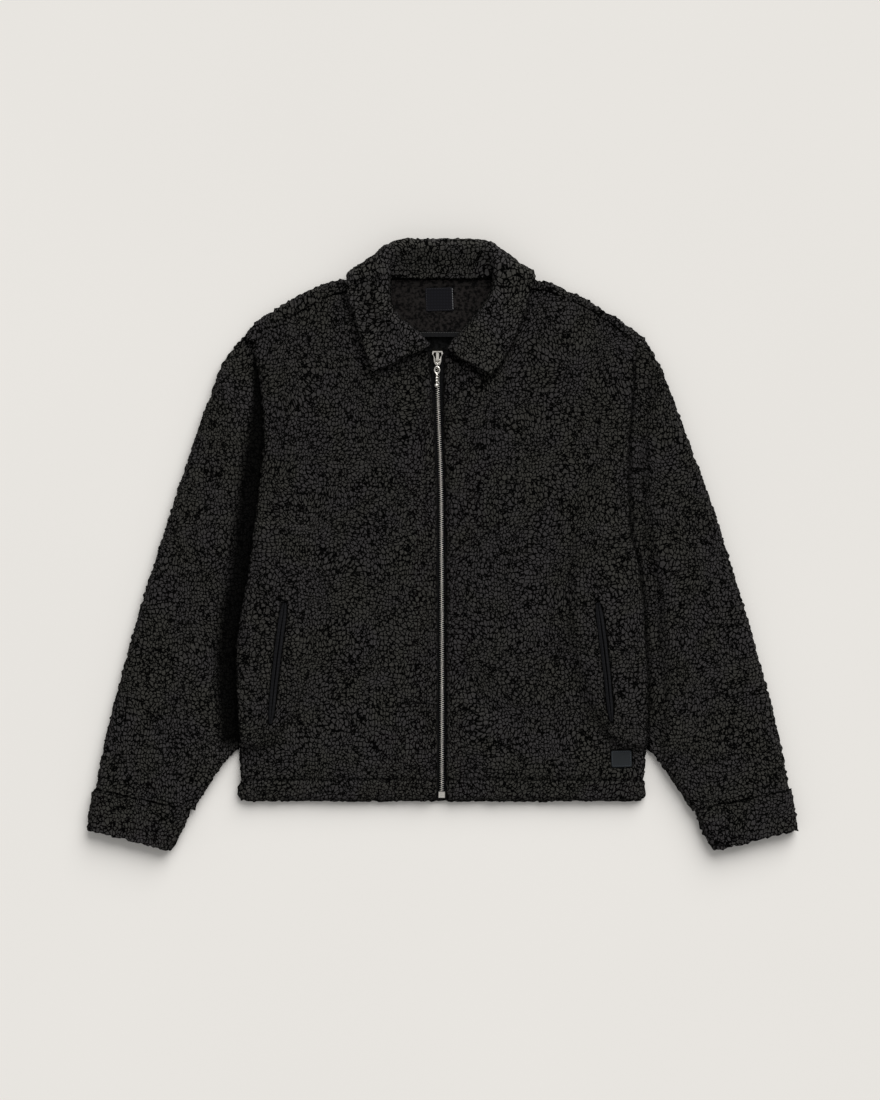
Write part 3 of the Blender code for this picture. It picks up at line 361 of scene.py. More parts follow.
def high_pile_fleece(name, tip, curl_mm):
    """Brushed polyester pile: matt black curls of curl_mm, lost in shadow in the crevices between them.

    The curls are cells of space, drawn out in rows that wander over the cloth, and the crevices between them
    are painted dark: painted shade. The crevices' width varies, so that some neighbours run together. The
    tone varies from tuft to tuft and the hue drifts between a warmer and a cooler black. Where the pile
    attribute is
    low, the colour is painted darker still: painted shade where the pile is pressed down, in folds, beside
    the collar and at steep edges.
    """
    material, tree, place = new_material(name)
    combed = bent_place(tree, bent_place(tree, place, 16.0, 0.032), 330.0, 0.003)
    combed = add(tree, "VectorMath", {0: combed, 1: (1.0, 0.75, 1.0)}, operation="MULTIPLY")
    border = add(tree, "TexVoronoi", {"Vector": combed, "Scale": 1000 / curl_mm, "Randomness": 0.74},
                 feature="DISTANCE_TO_EDGE")
    joins = add(tree, "TexNoise", {"Vector": place, "Scale": 230.0, "Detail": 1.0}, out="Fac")
    wide = add(tree, "MapRange", {0: joins, 1: 0.4, 2: 0.6, 3: 0.2, 4: 0.12})
    # Dark crevices between the curls: painted shade.
    curl = add(tree, "MapRange", {0: border, 1: 0.05, 2: wide}, interpolation_type="SMOOTHSTEP")
    fibre = add(tree, "TexNoise", {
        "Vector": place, "Scale": 420.0, "Detail": 2.0, "Roughness": 0.6,
    }, out="Fac")
    fleck = add(tree, "MapRange", {0: fibre, 1: 0.32, 2: 0.68, 3: 0.7, 4: 1.2})
    # The lower the pile attribute, the darker the colour: painted shade.
    pile = add(tree, "Attribute", {}, out="Fac", attribute_name="pile")
    depth = add(tree, "MapRange", {0: pile, 2: 0.44, 3: 0.08, 4: 1.0})
    level = add(tree, "Math", {0: curl, 1: fleck}, operation="MULTIPLY")
    level = add(tree, "Math", {0: level, 1: depth}, operation="MULTIPLY")
    wander = add(tree, "TexNoise", {"Vector": place, "Scale": 25.0, "Detail": 1.0}, out="Fac")
    patchy = add(tree, "MapRange", {0: wander, 1: 0.36, 2: 0.64})
    warm, cool = colour("#fefef4"), colour("#fcf9fe")
    hue = add(tree, "Mix", {0: patchy, 6: warm, 7: cool}, out=2, data_type="RGBA")
    lit = add(tree, "Mix", {0: 1.0, 6: colour(tip), 7: hue}, out=2, data_type="RGBA", blend_type="MULTIPLY")
    base = add(tree, "VectorMath", {0: lit, 3: level}, operation="SCALE")
    relief = add(tree, "Math", {0: fibre, 1: 0.7, 2: curl}, operation="MULTIPLY_ADD")
    bump = add(tree, "Bump", {"Height": relief, "Distance": 0.0014, "Strength": 1.0})
    shader = add(tree, "BsdfPrincipled", {
        "Base Color": base, "Roughness": 0.95, "Specular IOR Level": 0.03, "Normal": bump,
        "Sheen Weight": 0.01, "Sheen Roughness": 0.5, "Sheen Tint": colour("#d8d4cc"),
    })
    add(tree, "OutputMaterial", {"Surface": shader})
    return material


FLEECE = high_pile_fleece("black high pile fleece", "#353433", 4.1)


def uneven(tree, shade, noise, low, high, dark, light):
    """A colour, from dark to light times as strong as the noise goes from low to high."""
    tone = add(tree, "MapRange", {0: noise, 1: low, 2: high, 3: dark, 4: light})
    return add(tree, "VectorMath", {0: colour(shade)[:3], 3: tone}, operation="SCALE")


def smooth_knit(name, shade, stitch_mm=1.4):
    """The brushed back of a fine knit: matt, with faint rows of stitches and a little lint."""
    material, tree, place = new_material(name)
    rows = add(tree, "TexWave", {
        "Vector": place, "Scale": 1000 / stitch_mm / 20, "Distortion": 1.5, "Detail": 2.0,
    }, out="Fac", bands_direction="Y")
    lint = add(tree, "TexNoise", {
        "Vector": place, "Scale": 260.0, "Detail": 5.0, "Roughness": 0.65,
    }, out="Fac")
    height = add(tree, "Math", {0: rows, 1: lint}, operation="ADD")
    bump = add(tree, "Bump", {"Height": height, "Distance": 0.0003, "Strength": 0.6})
    shader = add(tree, "BsdfPrincipled", {
        "Base Color": uneven(tree, shade, lint, 0.43, 0.57, 0.1, 1.9), "Roughness": 0.9,
        "Specular IOR Level": 0.08, "Normal": bump, "Sheen Weight": 0.02, "Sheen Roughness": 0.4,
    })
    add(tree, "OutputMaterial", {"Surface": shader})
    return material


# A darker copy of the knit: painted shade for the inside seen through the neck.
INNER_KNIT_IN_PAINTED_SHADE = smooth_knit("smooth back of the black fleece, painted dark as shade", "#0a0a0a")


def fleece_piece(node, outer, inner, seed, size=CLUMP, depth=PILE_DEPTH, sides=(True, True), facing=1,
                 ring=False, keep=None, pressed_and_painted_shade=0.0, material=FLEECE):
    """A fleece skin from two grids: the pile's top and the inner face, which the skin's edges turn on to.

    The pile sinks inwards from the top by up to depth between the clumps, so the skin keeps the solid's size,
    and tufts lean to all sides by TUFT_LEAN. The pressed-and-shaded weight, from 0 to 1, is where the pile is
    pressed down, as at a seam, and painted darker there: painted shade, as in the folds and beside the
    collar.
    On steep faces and at the edges the pile is painted darker too: painted shade.
    """
    pile = clumps(outer, size, seed)
    normal = normals(outer, ring)
    lean = (drift(outer, TUFT_LEAN[0], seed + 7) - 0.5) * TUFT_LEAN[1:]
    skin = outer - facing * normal * (depth * (1 - pile * (1 - pressed_and_painted_shade)))[..., None] + lean
    skin[..., 2] = np.maximum(skin[..., 2], np.minimum(outer[..., 2], 0.1))
    grid, turned = lipped(skin, inner + lean * (1, 1, 0), sides)
    from_edge = np.min(edge_distances(outer)[2 if ring else 0:], axis=0)
    # Steep faces and the last few millimetres at the edges are painted darker: painted shade.
    steep = smooth((0.8 - np.abs(normal[..., 2])) / 0.5)
    painted_edge_shade = np.maximum(0.6 * steep, 0.85 * (1 - smooth(from_edge / 2.6)))
    pile = (HOLLOW + (1 - HOLLOW) * pile) * (1 - pressed_and_painted_shade) * (1 - painted_edge_shade)
    lips = tuple((2 * wanted, 2 * wanted) for wanted in sides)
    shown = np.where(turned, LIP_PILE, np.pad(pile, lips, mode="edge"))
    if keep is not None:
        keep = np.pad(keep, lips, mode="edge")
    return fasten(surface(f"{node}_fleece", grid, material, facing, ring, keep, shown), "fleece", node)


def even(count, gather=0.0):
    """Shares from 0 to 1, drawn together at both ends by gather."""
    t = np.linspace(0, 1, count)
    return t - gather * np.sin(2 * np.pi * t) / (2 * np.pi)


def back_grids(shoulder_columns, neck_columns, side_y, angles, lip_rows):
    """The back's outer and inner faces: the flat sheet, each shoulder's fold and the strip to the seam.

    The sheet ends where the folds start. Each fold turns through the angles, and the strip runs on level to
    the seam and sinks into it.
    """
    start, seam, radius, outward = {}, {}, {}, {}
    for s in SIDES.values():
        outline, seam[s] = (
            along(column(table, s), even(shoulder_columns)) for table in (SHOULDER, SHOULDER_SEAM))
        run = np.gradient(outline, axis=0)
        normal = np.stack([run[:, 1], -run[:, 0]], axis=1) * s
        outward[s] = normal / np.linalg.norm(normal, axis=1, keepdims=True)
        radius[s] = FOLD_R - 1.5 * over_fall(outline[:, 0], outline[:, 1])
        start[s] = outline - radius[s][:, None] * outward[s]
    neck_x = np.linspace(start[-1][-1, 0], start[1][-1, 0], neck_columns + 2)[1:-1]
    neck = np.stack([neck_x, np.full(neck_columns, NECK_Y - 1)], axis=1)
    far = np.concatenate([start[-1], neck, start[1][::-1]])
    u = run_along(far)
    u /= u[-1]
    v = (side_y - side_y[0]) / (side_y[-1] - side_y[0])
    edges = {}
    for s in start:
        inner = reading(column(ARMHOLE, s), side_y)
        wide = inner - 1.0 + (body_side(s, side_y) - inner) * smooth((ARMPIT_Y + 2 - side_y) / 14)
        edges[s] = np.stack([s * wide, side_y], axis=1)
        edges[s][-1] = start[s][0]
    near = along(hem_line(edges[-1][0], edges[1][0], HEM_DROP - 1.0), u)
    plan = stretched(near, far, edges[-1], edges[1], u, v)
    low, high = back_heights(plan[..., 0], plan[..., 1])
    away, lip, fold = np.zeros_like(far), far.copy(), np.full(len(far), FOLD_R)
    for s, part in ((-1, slice(0, shoulder_columns)), (1, slice(len(far) - shoulder_columns, None))):
        clear = -0.6 + 2.0 * over_fall(seam[s][:, 0], seam[s][:, 1])
        away[part], fold[part] = outward[s][::-s], radius[s][::-s]
        lip[part] = (seam[s] + clear[:, None] * outward[s])[::-s]
    ground, thick = low[:, -1:], (high - low)[:, -1:]
    turn = np.radians(angles)[None]
    share = even(lip_rows + 1)[None, 1:]
    sink = 1.2 * np.clip((share - 0.7) / 0.3, 0, 1) ** 2
    grids = []
    for face, flat in ((0.0, low), (1.0, high)):
        bend = fold[:, None] - face * thick
        reach = far[:, None] + (bend * np.sin(turn))[..., None] * away[:, None]
        top = ground + 2 * fold[:, None] - face * thick - (1 - face) * sink
        grids.append(np.concatenate([
            at_heights(plan, flat), at_heights(reach, ground + fold[:, None] - bend * np.cos(turn)),
            at_heights(far[:, None] + (lip - far)[:, None] * share[..., None], top),
        ], axis=1))
    keep = np.ones((len(u) - 1, grids[0].shape[1] - 1), bool)
    keep[shoulder_columns - 1:len(u) - shoulder_columns, len(v) - 1:] = False
    return grids, keep


FINE = 1.0
side_rows = [np.linspace(HEM_Y, -30, int(90 * FINE)), np.linspace(-28, SHOULDER_Y, int(96 * FINE))]
(back_outer, back_inner), back_keep = back_grids(
    int(112 * FINE), int(96 * FINE), np.concatenate(side_rows), np.linspace(9, 180, int(20 * FINE)),
    int(24 * FINE))
pressed = 1.0 + (PILE_DEPTH - 1.0) * smooth(back_outer[..., 2] / 6)
back_fleece = fleece_piece("back", back_outer, back_inner, 11, depth=pressed, facing=-1, keep=back_keep)

(_, inside_grid), inside_keep = back_grids(12, 10, np.linspace(HEM_Y + 8, SHOULDER_Y, 40), [40, 90, 140], 2)
fasten(surface("back_inside", inside_grid + [0, 0, 0.1], INNER_KNIT_IN_PAINTED_SHADE, keep=inside_keep), "knit", "back")


# -------------------------------------------------------------------------------------------------------
# The two fronts: the same fleece, cut from the neck and the shoulder seam down to a turned-up, stitched hem.
# They lie on the back and on the sleeves' margins. Each has a slit for its pocket, and the left one a small
# patch near the hem, which presses the pile down.

FRONT_T, GAP, PUFF = 8.0, 0.3, 2.8
ZIP_LIFT, TAPE_HALF = 1.9, 14.0
EARLY = 12.0  # how much sooner than the back the front starts to climb
STITCH_DEEP, SLIT_DEEP, PATCH_DEEP = 1.2, 4.2, 3.4
ROUND_SIDE, ROUND_OPEN, ROUND_TOP = 11, 8, 5  # radii of the edges: side, zip and hem, neck and shoulder
NECK_EDGE = np.array([
    (80, 317.5, 79, 318.5), (77, 310, 71, 309), (74, 294, 58, 289), (62.5, 273, 46, 272),
    (47.5, 262.5, 33.5, 257), (36, 254.5, 18, 244), (25.5, 246, 9.5, 239), (14.8, 238, 2.2, 236),
])
# The zip: y, x of its middle, half the gap between the fronts' edges.
ZIP = np.array([
    (-320, -0.9, 5.0), (-19, -1.3, 5.0), (93, -2.5, 5.0), (156, -5.0, 5.2), (193, -6.0, 6.2),
    (218, -6.3, 8.0), (243, -6.3, 8.5),
])
# Soft folds of the fronts, pressed in or raised: x, y of both ends, half-width, depth.
FOLDS = np.array([
    (22, -163, 66, -207, 16, 1.6), (66, -207, 134, -226, 16, 1.8), (128, -20, 124, -84, 18, 1.2),
    (-40, -150, -120, -205, 20, 1.2), (-150, 40, -120, -50, 22, 1.0), (60, 60, 90, 0, 22, -0.8),
    (-215, 150, -190, 60, 14, 1.2), (200, 170, 186, 60, 14, 1.0),
])
POCKETS = {-1: ((-196.5, -72), (-214.5, -224)), 1: ((193.5, -72), (210.5, -221))}
POCKET_W, POCKET_TAPER, POCKET_BOW, POCKET_LONG, POCKET_END = 9.0, 0.2, 1.2, 152.0, 0.004
PATCH = {"x": 223.5, "y": -267.5, "half_x": 12.8, "half_y": 10.4, "tilt": 0.03}
# The collar's wings from the zip up: x, y of the edge seen in the neck, height of the roll, x, y of the outer
# edge. They lie on the fronts, and the pile beside them is painted darker as their shadow.
WINGS = {
    -1: np.array([
        (-13, 247, 25, -88, 214), (-26, 261, 27, -97, 240), (-40, 272, 29, -105, 264),
        (-54, 283, 30.5, -112, 286), (-63, 300, 31, -118, 306), (-65, 318, 31, -121, 321),
    ]),
    1: np.array([
        (4, 243, 25, 60, 210), (14, 257, 27, 76, 230), (27, 270, 29, 88, 252),
        (41, 286, 30.5, 97, 275), (53, 303, 31, 105, 297), (61, 320, 31, 110, 316),
    ]),
}
# Midway along the edge from a wing's start at the zip to its point: x, y.
WING_FRONT = {-1: (-50, 230.5), 1: (32, 226.5)}
# The painted shadow beside a wing: how far it is moved to the left and down, its width, how dark it is.
WING_SHADE = {-1: (5.0, 1.5, 8.0, 0.6), 1: (2.0, 3.0, 6.0, 0.8)}


def zip_middle(y):
    """The zip's x at a height."""
    return reading(ZIP[:, [0, 1]], y)


def front_heights(side, x, y, inside):
    """A front's inner face and the top of its pile: on the back, the sleeve and the tape, puffed, creased."""
    margin, fall = over_sleeve(side, x, y, EARLY), over_fall(x, y, EARLY + 4)
    tape = smooth((TAPE_HALF + 7 - np.abs(x - zip_middle(y))) / 5)
    lift = margin * (MARGIN_T - BACK_T + (PRESSED_T + SEAM_CLEAR) * below_armpit(y))
    lift = lift + (COLLAR_LIFT - 0.5) * fall
    low = BACK_T + 2 * GAP + lift + ZIP_LIFT * tape + PUFF * smooth(inside / 60) * (1 - fall)
    depth = np.zeros_like(x, dtype=float)
    for x0, y0, x1, y1, half, deep in FOLDS:
        t = ((x - x0) * (x1 - x0) + (y - y0) * (y1 - y0)) / np.hypot(x1 - x0, y1 - y0) ** 2
        t = np.clip(t, 0, 1)
        depth += deep * np.exp(-(np.hypot(x - x0 - t * (x1 - x0), y - y0 - t * (y1 - y0)) / half) ** 2)
    stitch = STITCH_DEEP * np.exp(-(((y - HEM_STITCH_Y) / 3.0) ** 2)) * smooth(inside / 8)
    return low, low + FRONT_T - 1.3 * fall - depth * smooth(inside / 20) - stitch


def front_plan(side, u, v):
    """A front from above: from the zip to the side, and from the hem to the neck and the shoulder seam."""
    top = np.concatenate([column(NECK_EDGE, side)[::-1], column(SHOULDER_SEAM, side)[::-1][1:]])
    zip_y = HEM_Y + (top[0, 1] - HEM_Y) * v
    start = np.stack([zip_middle(zip_y) + side * reading(ZIP[:, [0, 2]], zip_y), zip_y], axis=1)
    side_y = HEM_Y + (top[-1, 1] - HEM_Y) * v
    end = np.stack([side * body_side(side, side_y), side_y], axis=1)
    start[-1], end[-1] = top[0], top[-1]
    return stretched(along(hem_line(start[0], end[0], HEM_DROP), u), along(top, u), start, end, u, v)


def pocket_place(side, x, y):
    """How far a point is down the pocket slit, as a share, and to its side, in half-widths of the slit."""
    (x0, y0), (x1, y1) = POCKETS[side]
    long = np.hypot(x1 - x0, y1 - y0)
    run = np.array([x1 - x0, y1 - y0]) / long
    t = ((x - x0) * run[0] + (y - y0) * run[1]) / long
    bow = POCKET_BOW * np.sin(np.pi * np.clip(t, 0, 1))
    aside = ((x - x0) * -run[1] + (y - y0) * run[0]) * side - bow
    return t, aside / (POCKET_W / 2 * (1 - POCKET_TAPER * np.clip(t, 0, 1)))


def slit_taper(from_end):
    """The pocket opening's width as a share: it closes to a point at both ends."""
    return 0.3 + 0.7 * np.sqrt(np.clip((from_end + 1) / 18, 0, 1))


def beside_wing(side, x, y):
    """Painted shadow, up to dark beside a wing's edge and fading away. The band is moved away from the light.
    """
    left, down, wide, dark = WING_SHADE[side]
    round_point = np.concatenate([WINGS[side][:1, :2], [WING_FRONT[side]], WINGS[side][:, 3:]])
    edge = along(round_point, np.linspace(0, 1, 90))
    far = np.full(x.shape, 1e3)
    for spot_x, spot_y in edge:
        far = np.minimum(far, np.hypot(x + left - spot_x, y + down - spot_y))
    return dark * np.exp(-(far / wide) ** 2)


def under_patch(x, y):
    """1 where the patch lies on the pile, 0 away from it."""
    across, up, turn = x - PATCH["x"], y - PATCH["y"], PATCH["tilt"]
    a, b = across * np.cos(turn) + up * np.sin(turn), up * np.cos(turn) - across * np.sin(turn)
    return smooth((np.minimum(PATCH["half_x"] - np.abs(a), PATCH["half_y"] - np.abs(b)) + 1.2) / 1.5)


for word, side in SIDES.items():
    plan = front_plan(side, even(int(172 * FINE), 0.15), even(int(420 * FINE), 0.06))
    x, y = plan[..., 0], plan[..., 1]
    zip_d, side_d, hem_d, top_d = edge_distances(plan)
    inside = np.minimum.reduce([zip_d, side_d, hem_d, top_d])
    low, full = front_heights(side, x, y, inside)
    edge = np.minimum.reduce([rounded(side_d, ROUND_SIDE), rounded(zip_d, ROUND_OPEN),
                              rounded(hem_d, ROUND_OPEN), 0.7 + rounded(top_d, ROUND_TOP)])
    high = low + (full - low) * (0.22 + 0.78 * edge)
    down, across = pocket_place(side, x, y)
    ends = np.minimum(down, 1 - down) * POCKET_LONG
    across = across / slit_taper(ends) + 0.5 * (drift(at_heights(plan, high), 6.0, 61 + side)[..., 0] - 0.5)
    slit = smooth((1.55 - np.abs(across)) / 0.5) * smooth((ends + 2.5) / 2.5)
    covered = under_patch(x, y) if side > 0 else np.zeros_like(x)
    high -= SLIT_DEEP * slit + PATCH_DEEP * covered
    stitched = 0.85 * np.exp(-(((y - HEM_STITCH_Y) / 1.7) ** 2)) * (1 - slit)
    # The slit, the hem's stitching, the band beside each wing and the patch press the pile down and are
    # painted darker: painted shade.
    pressed_and_painted_shade = np.maximum.reduce([0.9 * slit + stitched, beside_wing(side, x, y), covered])
    cut = (np.abs(across) < 0.8) & (down > POCKET_END) & (down < 1 - POCKET_END)
    cut = cut[:-1, :-1] & cut[1:, :-1] & cut[:-1, 1:] & cut[1:, 1:]
    front_piece = fleece_piece(
        f"front_{word}", at_heights(plan, high), at_heights(plan, low), 21 + side, facing=side, keep=~cut,
        depth=PILE_DEPTH * (1.1 - 0.4 * smooth(inside / 35)), pressed_and_painted_shade=np.clip(pressed_and_painted_shade, 0, 1))


# -------------------------------------------------------------------------------------------------------
# The sleeves: one-piece tubes of the same fleece, pressed flat. The underarm margin lies under the body's
# edge. The ends turn in to the armhole seam and to the seam of the cuff.

SLEEVE_T = 17.0
SLEEVE_RAMP = {-1: 28.0, 1: 17.0}  # how far out from the body's edge the sleeve takes to reach that thickness
SLEEVE_OUT = np.array([
    (259, 251, 253), (231, 271, 267), (181, 291, 288), (131, 309, 306), (56, 334, 334),
    (-19, 358, 358), (-94, 381, 381), (-169, 402, 402), (-244, 421, 421), (-305.7, 433, 433),
])
# The fold beside the body: its width, the share of it at full depth, its depth, and how dark it is painted as
# shade. It is wide, soft and deep on the right sleeve, and a tight crease on the left one.
TROUGH = {-1: (42.0, 0.42, 3.6, 1.0), 1: (9.0, 0.3, 1.8, 0.85)}


def sleeve_thickness(side, x, y):
    """Both layers together: thin beside and under the body's edge, full further out and at the wrist."""
    away = smooth((np.abs(x) - body_side(side, y) - MARGIN_CLEAR) / SLEEVE_RAMP[side])
    return MARGIN_T + (SLEEVE_T - MARGIN_T) * np.maximum(away, smooth((-247 - y) / 45))


def flat_tube(side, near, far, start, end, thickness, hidden, rows, top_columns, low_columns):
    """A cloth tube lying flat between four lines, as a ring of points round each row.

    The top runs from the inner fold to the outer one and the underside runs back. Each fold is a half circle
    of the tube's thickness. hidden is the width beside the inner fold that the body covers, in coarse steps.
    Gives the ring, the same ring pressed shut at mid height, and which of its points are underneath. At the
    left side all three run the other way round, so that the faces look outwards on both sides.
    """
    v, ends = even(rows), np.array([0.0, 1.0])
    start, end = along(start, v), along(end, v)
    full = stretched(along(near, ends), along(far, ends), start, end, ends, v)
    wide = np.linalg.norm(full[1] - full[0], axis=1)
    inner_r, outer_r = thickness(full[..., 0], full[..., 1]) / 2
    covered = np.maximum(hidden(full[0, :, 0], full[0, :, 1]), inner_r + 6)
    bend = 1 - np.cos(np.radians(np.linspace(0, 90, 8)))[:, None]
    first, last = inner_r * bend, wide - outer_r * bend[::-1]

    def line(begin, finish, count):
        """Evenly spaced places between two others, which are left out."""
        return begin + (finish - begin) * np.linspace(0, 1, count + 1)[1:-1, None]

    top = np.concatenate([first, line(inner_r, covered, 8), covered[None],
                          line(covered, wide - outer_r, top_columns), last])
    under = np.concatenate([last[-2::-1], line(wide - outer_r, inner_r, low_columns), first[:0:-1]])
    w = np.concatenate([top, under]) / wide
    bottom = np.arange(len(w)) >= len(top)
    plan = stretched(along(near, w), along(far, w), start, end, w, v)
    thick = thickness(plan[..., 0], plan[..., 1])
    bulge = rounded(np.minimum(w, 1 - w) * wide, thick / 2) * np.where(bottom, -1, 1)[:, None]
    ring = at_heights(plan, thick / 2 * (1 + bulge))
    return ring[::-side], at_heights(plan, thick / 2)[::-side], bottom[::-side]


def tube_piece(node, outer, inner, bottom, seed, pressed_and_painted_shade=0.0):
    """A tube of fleece: its pile is pressed flat where it lies on the ground."""
    depth = np.where(bottom, 0.9, 0.85 * PILE_DEPTH)[:, None]
    return fleece_piece(node, outer, inner, seed, depth=depth, sides=(False, True), facing=-1, ring=True,
                        pressed_and_painted_shade=pressed_and_painted_shade)


for word, side in SIDES.items():
    armhole, underarm, outer_fold = (
        column(table, side)[:, ::-1] * (side, 1) for table in (ARMHOLE, UNDERARM, SLEEVE_OUT))
    armhole, underarm = armhole + (side * GAP, 0), underarm + (side * GAP, 0)
    outer_fold[0] = armhole[-1]
    wrist = np.array([underarm[-1], outer_fold[-1]])
    outer, inner, bottom = flat_tube(
        side, armhole, wrist, underarm, outer_fold, lambda x, y: sleeve_thickness(side, x, y),
        lambda x, y: body_side(side, y) - 12 - np.abs(x), int(400 * FINE), int(84 * FINE), int(44 * FINE))
    wide, core, deep, dark = TROUGH[side]
    y = outer[..., 1]
    reach = np.maximum(wide * np.clip((255 - y) / 150, 0, 1), 4)
    beside = np.abs(outer[..., 0]) - body_side(side, y)
    trough = 1 - smooth((beside / reach - core) / (1 - core))
    trough = trough * smooth((248 - y) / 25) * smooth((y + 276) / 36) * ~bottom[:, None]
    outer[..., 2] -= deep * trough
    # The fold's pile is pressed down and painted darker: painted shade.
    sleeve_piece = tube_piece(f"sleeve_{word}", outer, inner, bottom, 31 + side, dark * trough)


# -------------------------------------------------------------------------------------------------------
# The cuffs: a straight band of the fleece round each wrist, folded double and sewn to the sleeve's end, so
# that it is a little wider and thicker than the sleeve.

CUFF_T = 18.5
CUFF_OUTER = np.array([
    (435.5, -306, 435.5, -306), (438.6, -320, 438.6, -320), (441.3, -338, 441.3, -338),
    (443.1, -357, 443.1, -357),
])
CUFF_MOUTH = np.array([
    (341, -381.9, 339, -381.9), (352, -379.5, 352, -379.5), (394, -368.5, 394, -368.5),
    (443.1, -357, 443.1, -357),
])
CUFF_INNER = np.array([
    (316, -331, 316, -332), (322, -348, 321, -348), (331, -368, 330, -368), (341, -381.9, 339, -381.9),
])

for word, side in SIDES.items():
    cuff_out, mouth, cuff_in = (column(table, side) for table in (CUFF_OUTER, CUFF_MOUTH, CUFF_INNER))
    cuff_top = np.array([cuff_in[0], cuff_out[0]])
    outer, inner, bottom = flat_tube(
        side, cuff_top, mouth, cuff_in, cuff_out, lambda x, y: np.full_like(x, CUFF_T),
        lambda x, y: np.full_like(x, 16.0), int(42 * FINE), int(72 * FINE), int(36 * FINE))
    cuff_piece = tube_piece(f"cuff_{word}", outer, inner, bottom, 41 + side)


# -------------------------------------------------------------------------------------------------------
# The collar: a stand and a fall in one piece of fleece on both faces. It rises from the neck seam, rolls over
# and falls out to two points in front. At the back the fall goes down behind the neck and under the back.

COLLAR_T, FALL_T, COLLAR_CLUMP = 8.4, 4.0, 6.6
COLLAR_PILE, HIDDEN_PILE = 3.2, 1.0
# The height of each wing's foot at the neck seam, from the zip up, and of its outer part on the front.
WING_FOOT, WING_LIE = (17.7, 15.2, 13.2, 13.2, 13.2, 13.2), 22.6
# Where the fall turns over the shoulder and goes under the back: eight points of the wall's middle from the
# neck seam over the roll to the fall's edge, x, y, z at -X. The other side is a little narrower.
TURN = np.array([
    [(-68, 334, 15), (-68.5, 336, 22), (-70, 340, 29), (-76, 343, 31.5), (-86, 343, 30.8), (-97, 341, 28.2),
     (-109, 338, 25.2), (-120, 334, 22.6)],
    [(-66, 338, 15.5), (-67, 345, 22), (-69, 352, 28.5), (-73, 357.5, 30), (-81, 359.5, 24),
     (-91, 353.5, 17.5), (-103.5, 345, 12.5), (-115, 339, 9)],
    [(-62, 337.5, 15.3), (-63, 349, 21.3), (-65, 360, 28), (-67.5, 366, 29.5), (-73, 366.5, 19),
     (-83, 356.5, 8.5), (-98, 344, 3.2), (-111, 329, 2.4)],
    [(-57, 335, 15.1), (-57, 351, 20.8), (-58, 365, 27.5), (-59, 371.5, 29.3), (-63, 373, 18),
     (-70, 363.5, 6.6), (-83, 342, 2.5), (-94, 312, 2.4)],
    [(-42, 333, 15), (-42, 350, 20.5), (-42, 366, 27.5), (-42, 374.4, 29.5), (-43.5, 377.4, 18),
     (-46, 371, 5.6), (-54, 342, 2.4), (-60, 307, 2.4)],
])
TURN_SHRINK = 0.965
BACK_COLLAR = np.array([
    (0, 333, 15), (0, 350, 20.5), (0, 366, 27.5), (0, 374.4, 29.5), (0, 377.6, 18), (0, 371, 5.6),
    (0, 342, 2.4), (0, 306, 2.4),
])


def collar_net():
    """Control points of the collar wall's middle: a row for each station round the neck, eight in each."""
    halves = {}
    for side in SIDES.values():
        rows = []
        for (ax, ay, roll, ex, ey), foot in zip(WINGS[side], WING_FOOT):
            inner, outer = np.array([ax, ay]), np.array([ex, ey])
            wide = np.linalg.norm(outer - inner)
            spots = ((4.4, foot), (4.5, (foot + roll) / 2), (7.0, roll - 2.0), (12.5, roll),
                     (21.0, roll - 1.6), (wide * 0.5, (roll + WING_LIE) / 2 - 0.6),
                     (wide * 0.78, WING_LIE + 0.6), (wide, WING_LIE))
            rows.append([(*(inner + (outer - inner) / wide * far), z) for far, z in spots])
        turn = TURN * [1 if side < 0 else -TURN_SHRINK, 1, 1]
        halves[side] = np.concatenate([np.array(rows), turn])
    return np.concatenate([halves[-1], BACK_COLLAR[None], halves[1][::-1]])


def through(net, shares):
    """A smooth surface through the net's rows, read at shares of the row count."""
    where = shares * (len(net) - 1)
    i = np.clip(where.astype(int), 0, len(net) - 2)
    return cubic(net, np.gradient(net, axis=0), i, (where - i).reshape(-1, *[1] * (net.ndim - 1)))


def even_shares(net, count, gather):
    """Shares of the net's row count that are evenly spaced in millimetres, on its middle line."""
    fine = np.linspace(0, 1, 400)
    run = run_along(through(net, fine).mean(axis=1))
    return np.interp(even(count, gather) * run[-1], run, fine)


LONG_FLEECE = high_pile_fleece("black high pile fleece, collar", "#3b3a39", 4.4)
net = collar_net()
round_neck = even_shares(net, int(330 * FINE), 0.1)
section = even_shares(net.transpose(1, 0, 2), int(84 * FINE), 0.15)
middle = through(through(net, round_neck).transpose(1, 0, 2), section).transpose(1, 0, 2)
first_d, last_d, _, edge_d = edge_distances(middle)
squeezed = smooth((12 - middle[..., 2]) / 8) * smooth((middle[..., 1] - 290) / 10)
half = (COLLAR_T - (COLLAR_T - FALL_T) * squeezed) / 2
half = half * (0.16 + 0.84 * np.minimum(rounded(edge_d, 5), rounded(np.minimum(first_d, last_d), 4)))
across_wall = -normals(middle) * half[..., None]
under_columns = np.linspace(section.size - 1, 0, int(30 * FINE)).astype(int)
collar_outer = np.concatenate([middle + across_wall, (middle - across_wall)[:, under_columns]], axis=1)
collar_inner = np.concatenate([middle, middle[:, under_columns]], axis=1)
collar_depth = np.where(np.arange(collar_outer.shape[1]) < section.size, COLLAR_PILE, HIDDEN_PILE)[:, None]
collar_piece = fleece_piece(
    "collar", collar_outer.transpose(1, 0, 2), collar_inner.transpose(1, 0, 2), 51, size=COLLAR_CLUMP,
    depth=collar_depth, sides=(False, True), ring=True, material=LONG_FLEECE)


# -------------------------------------------------------------------------------------------------------
# Inside the back neck: a knit facing, a tape over the neck seam, the facing's bound lower edge and a bare
# satin label, all sewn on. They are flat pieces and stay as the frame has them. Their stitches are added.

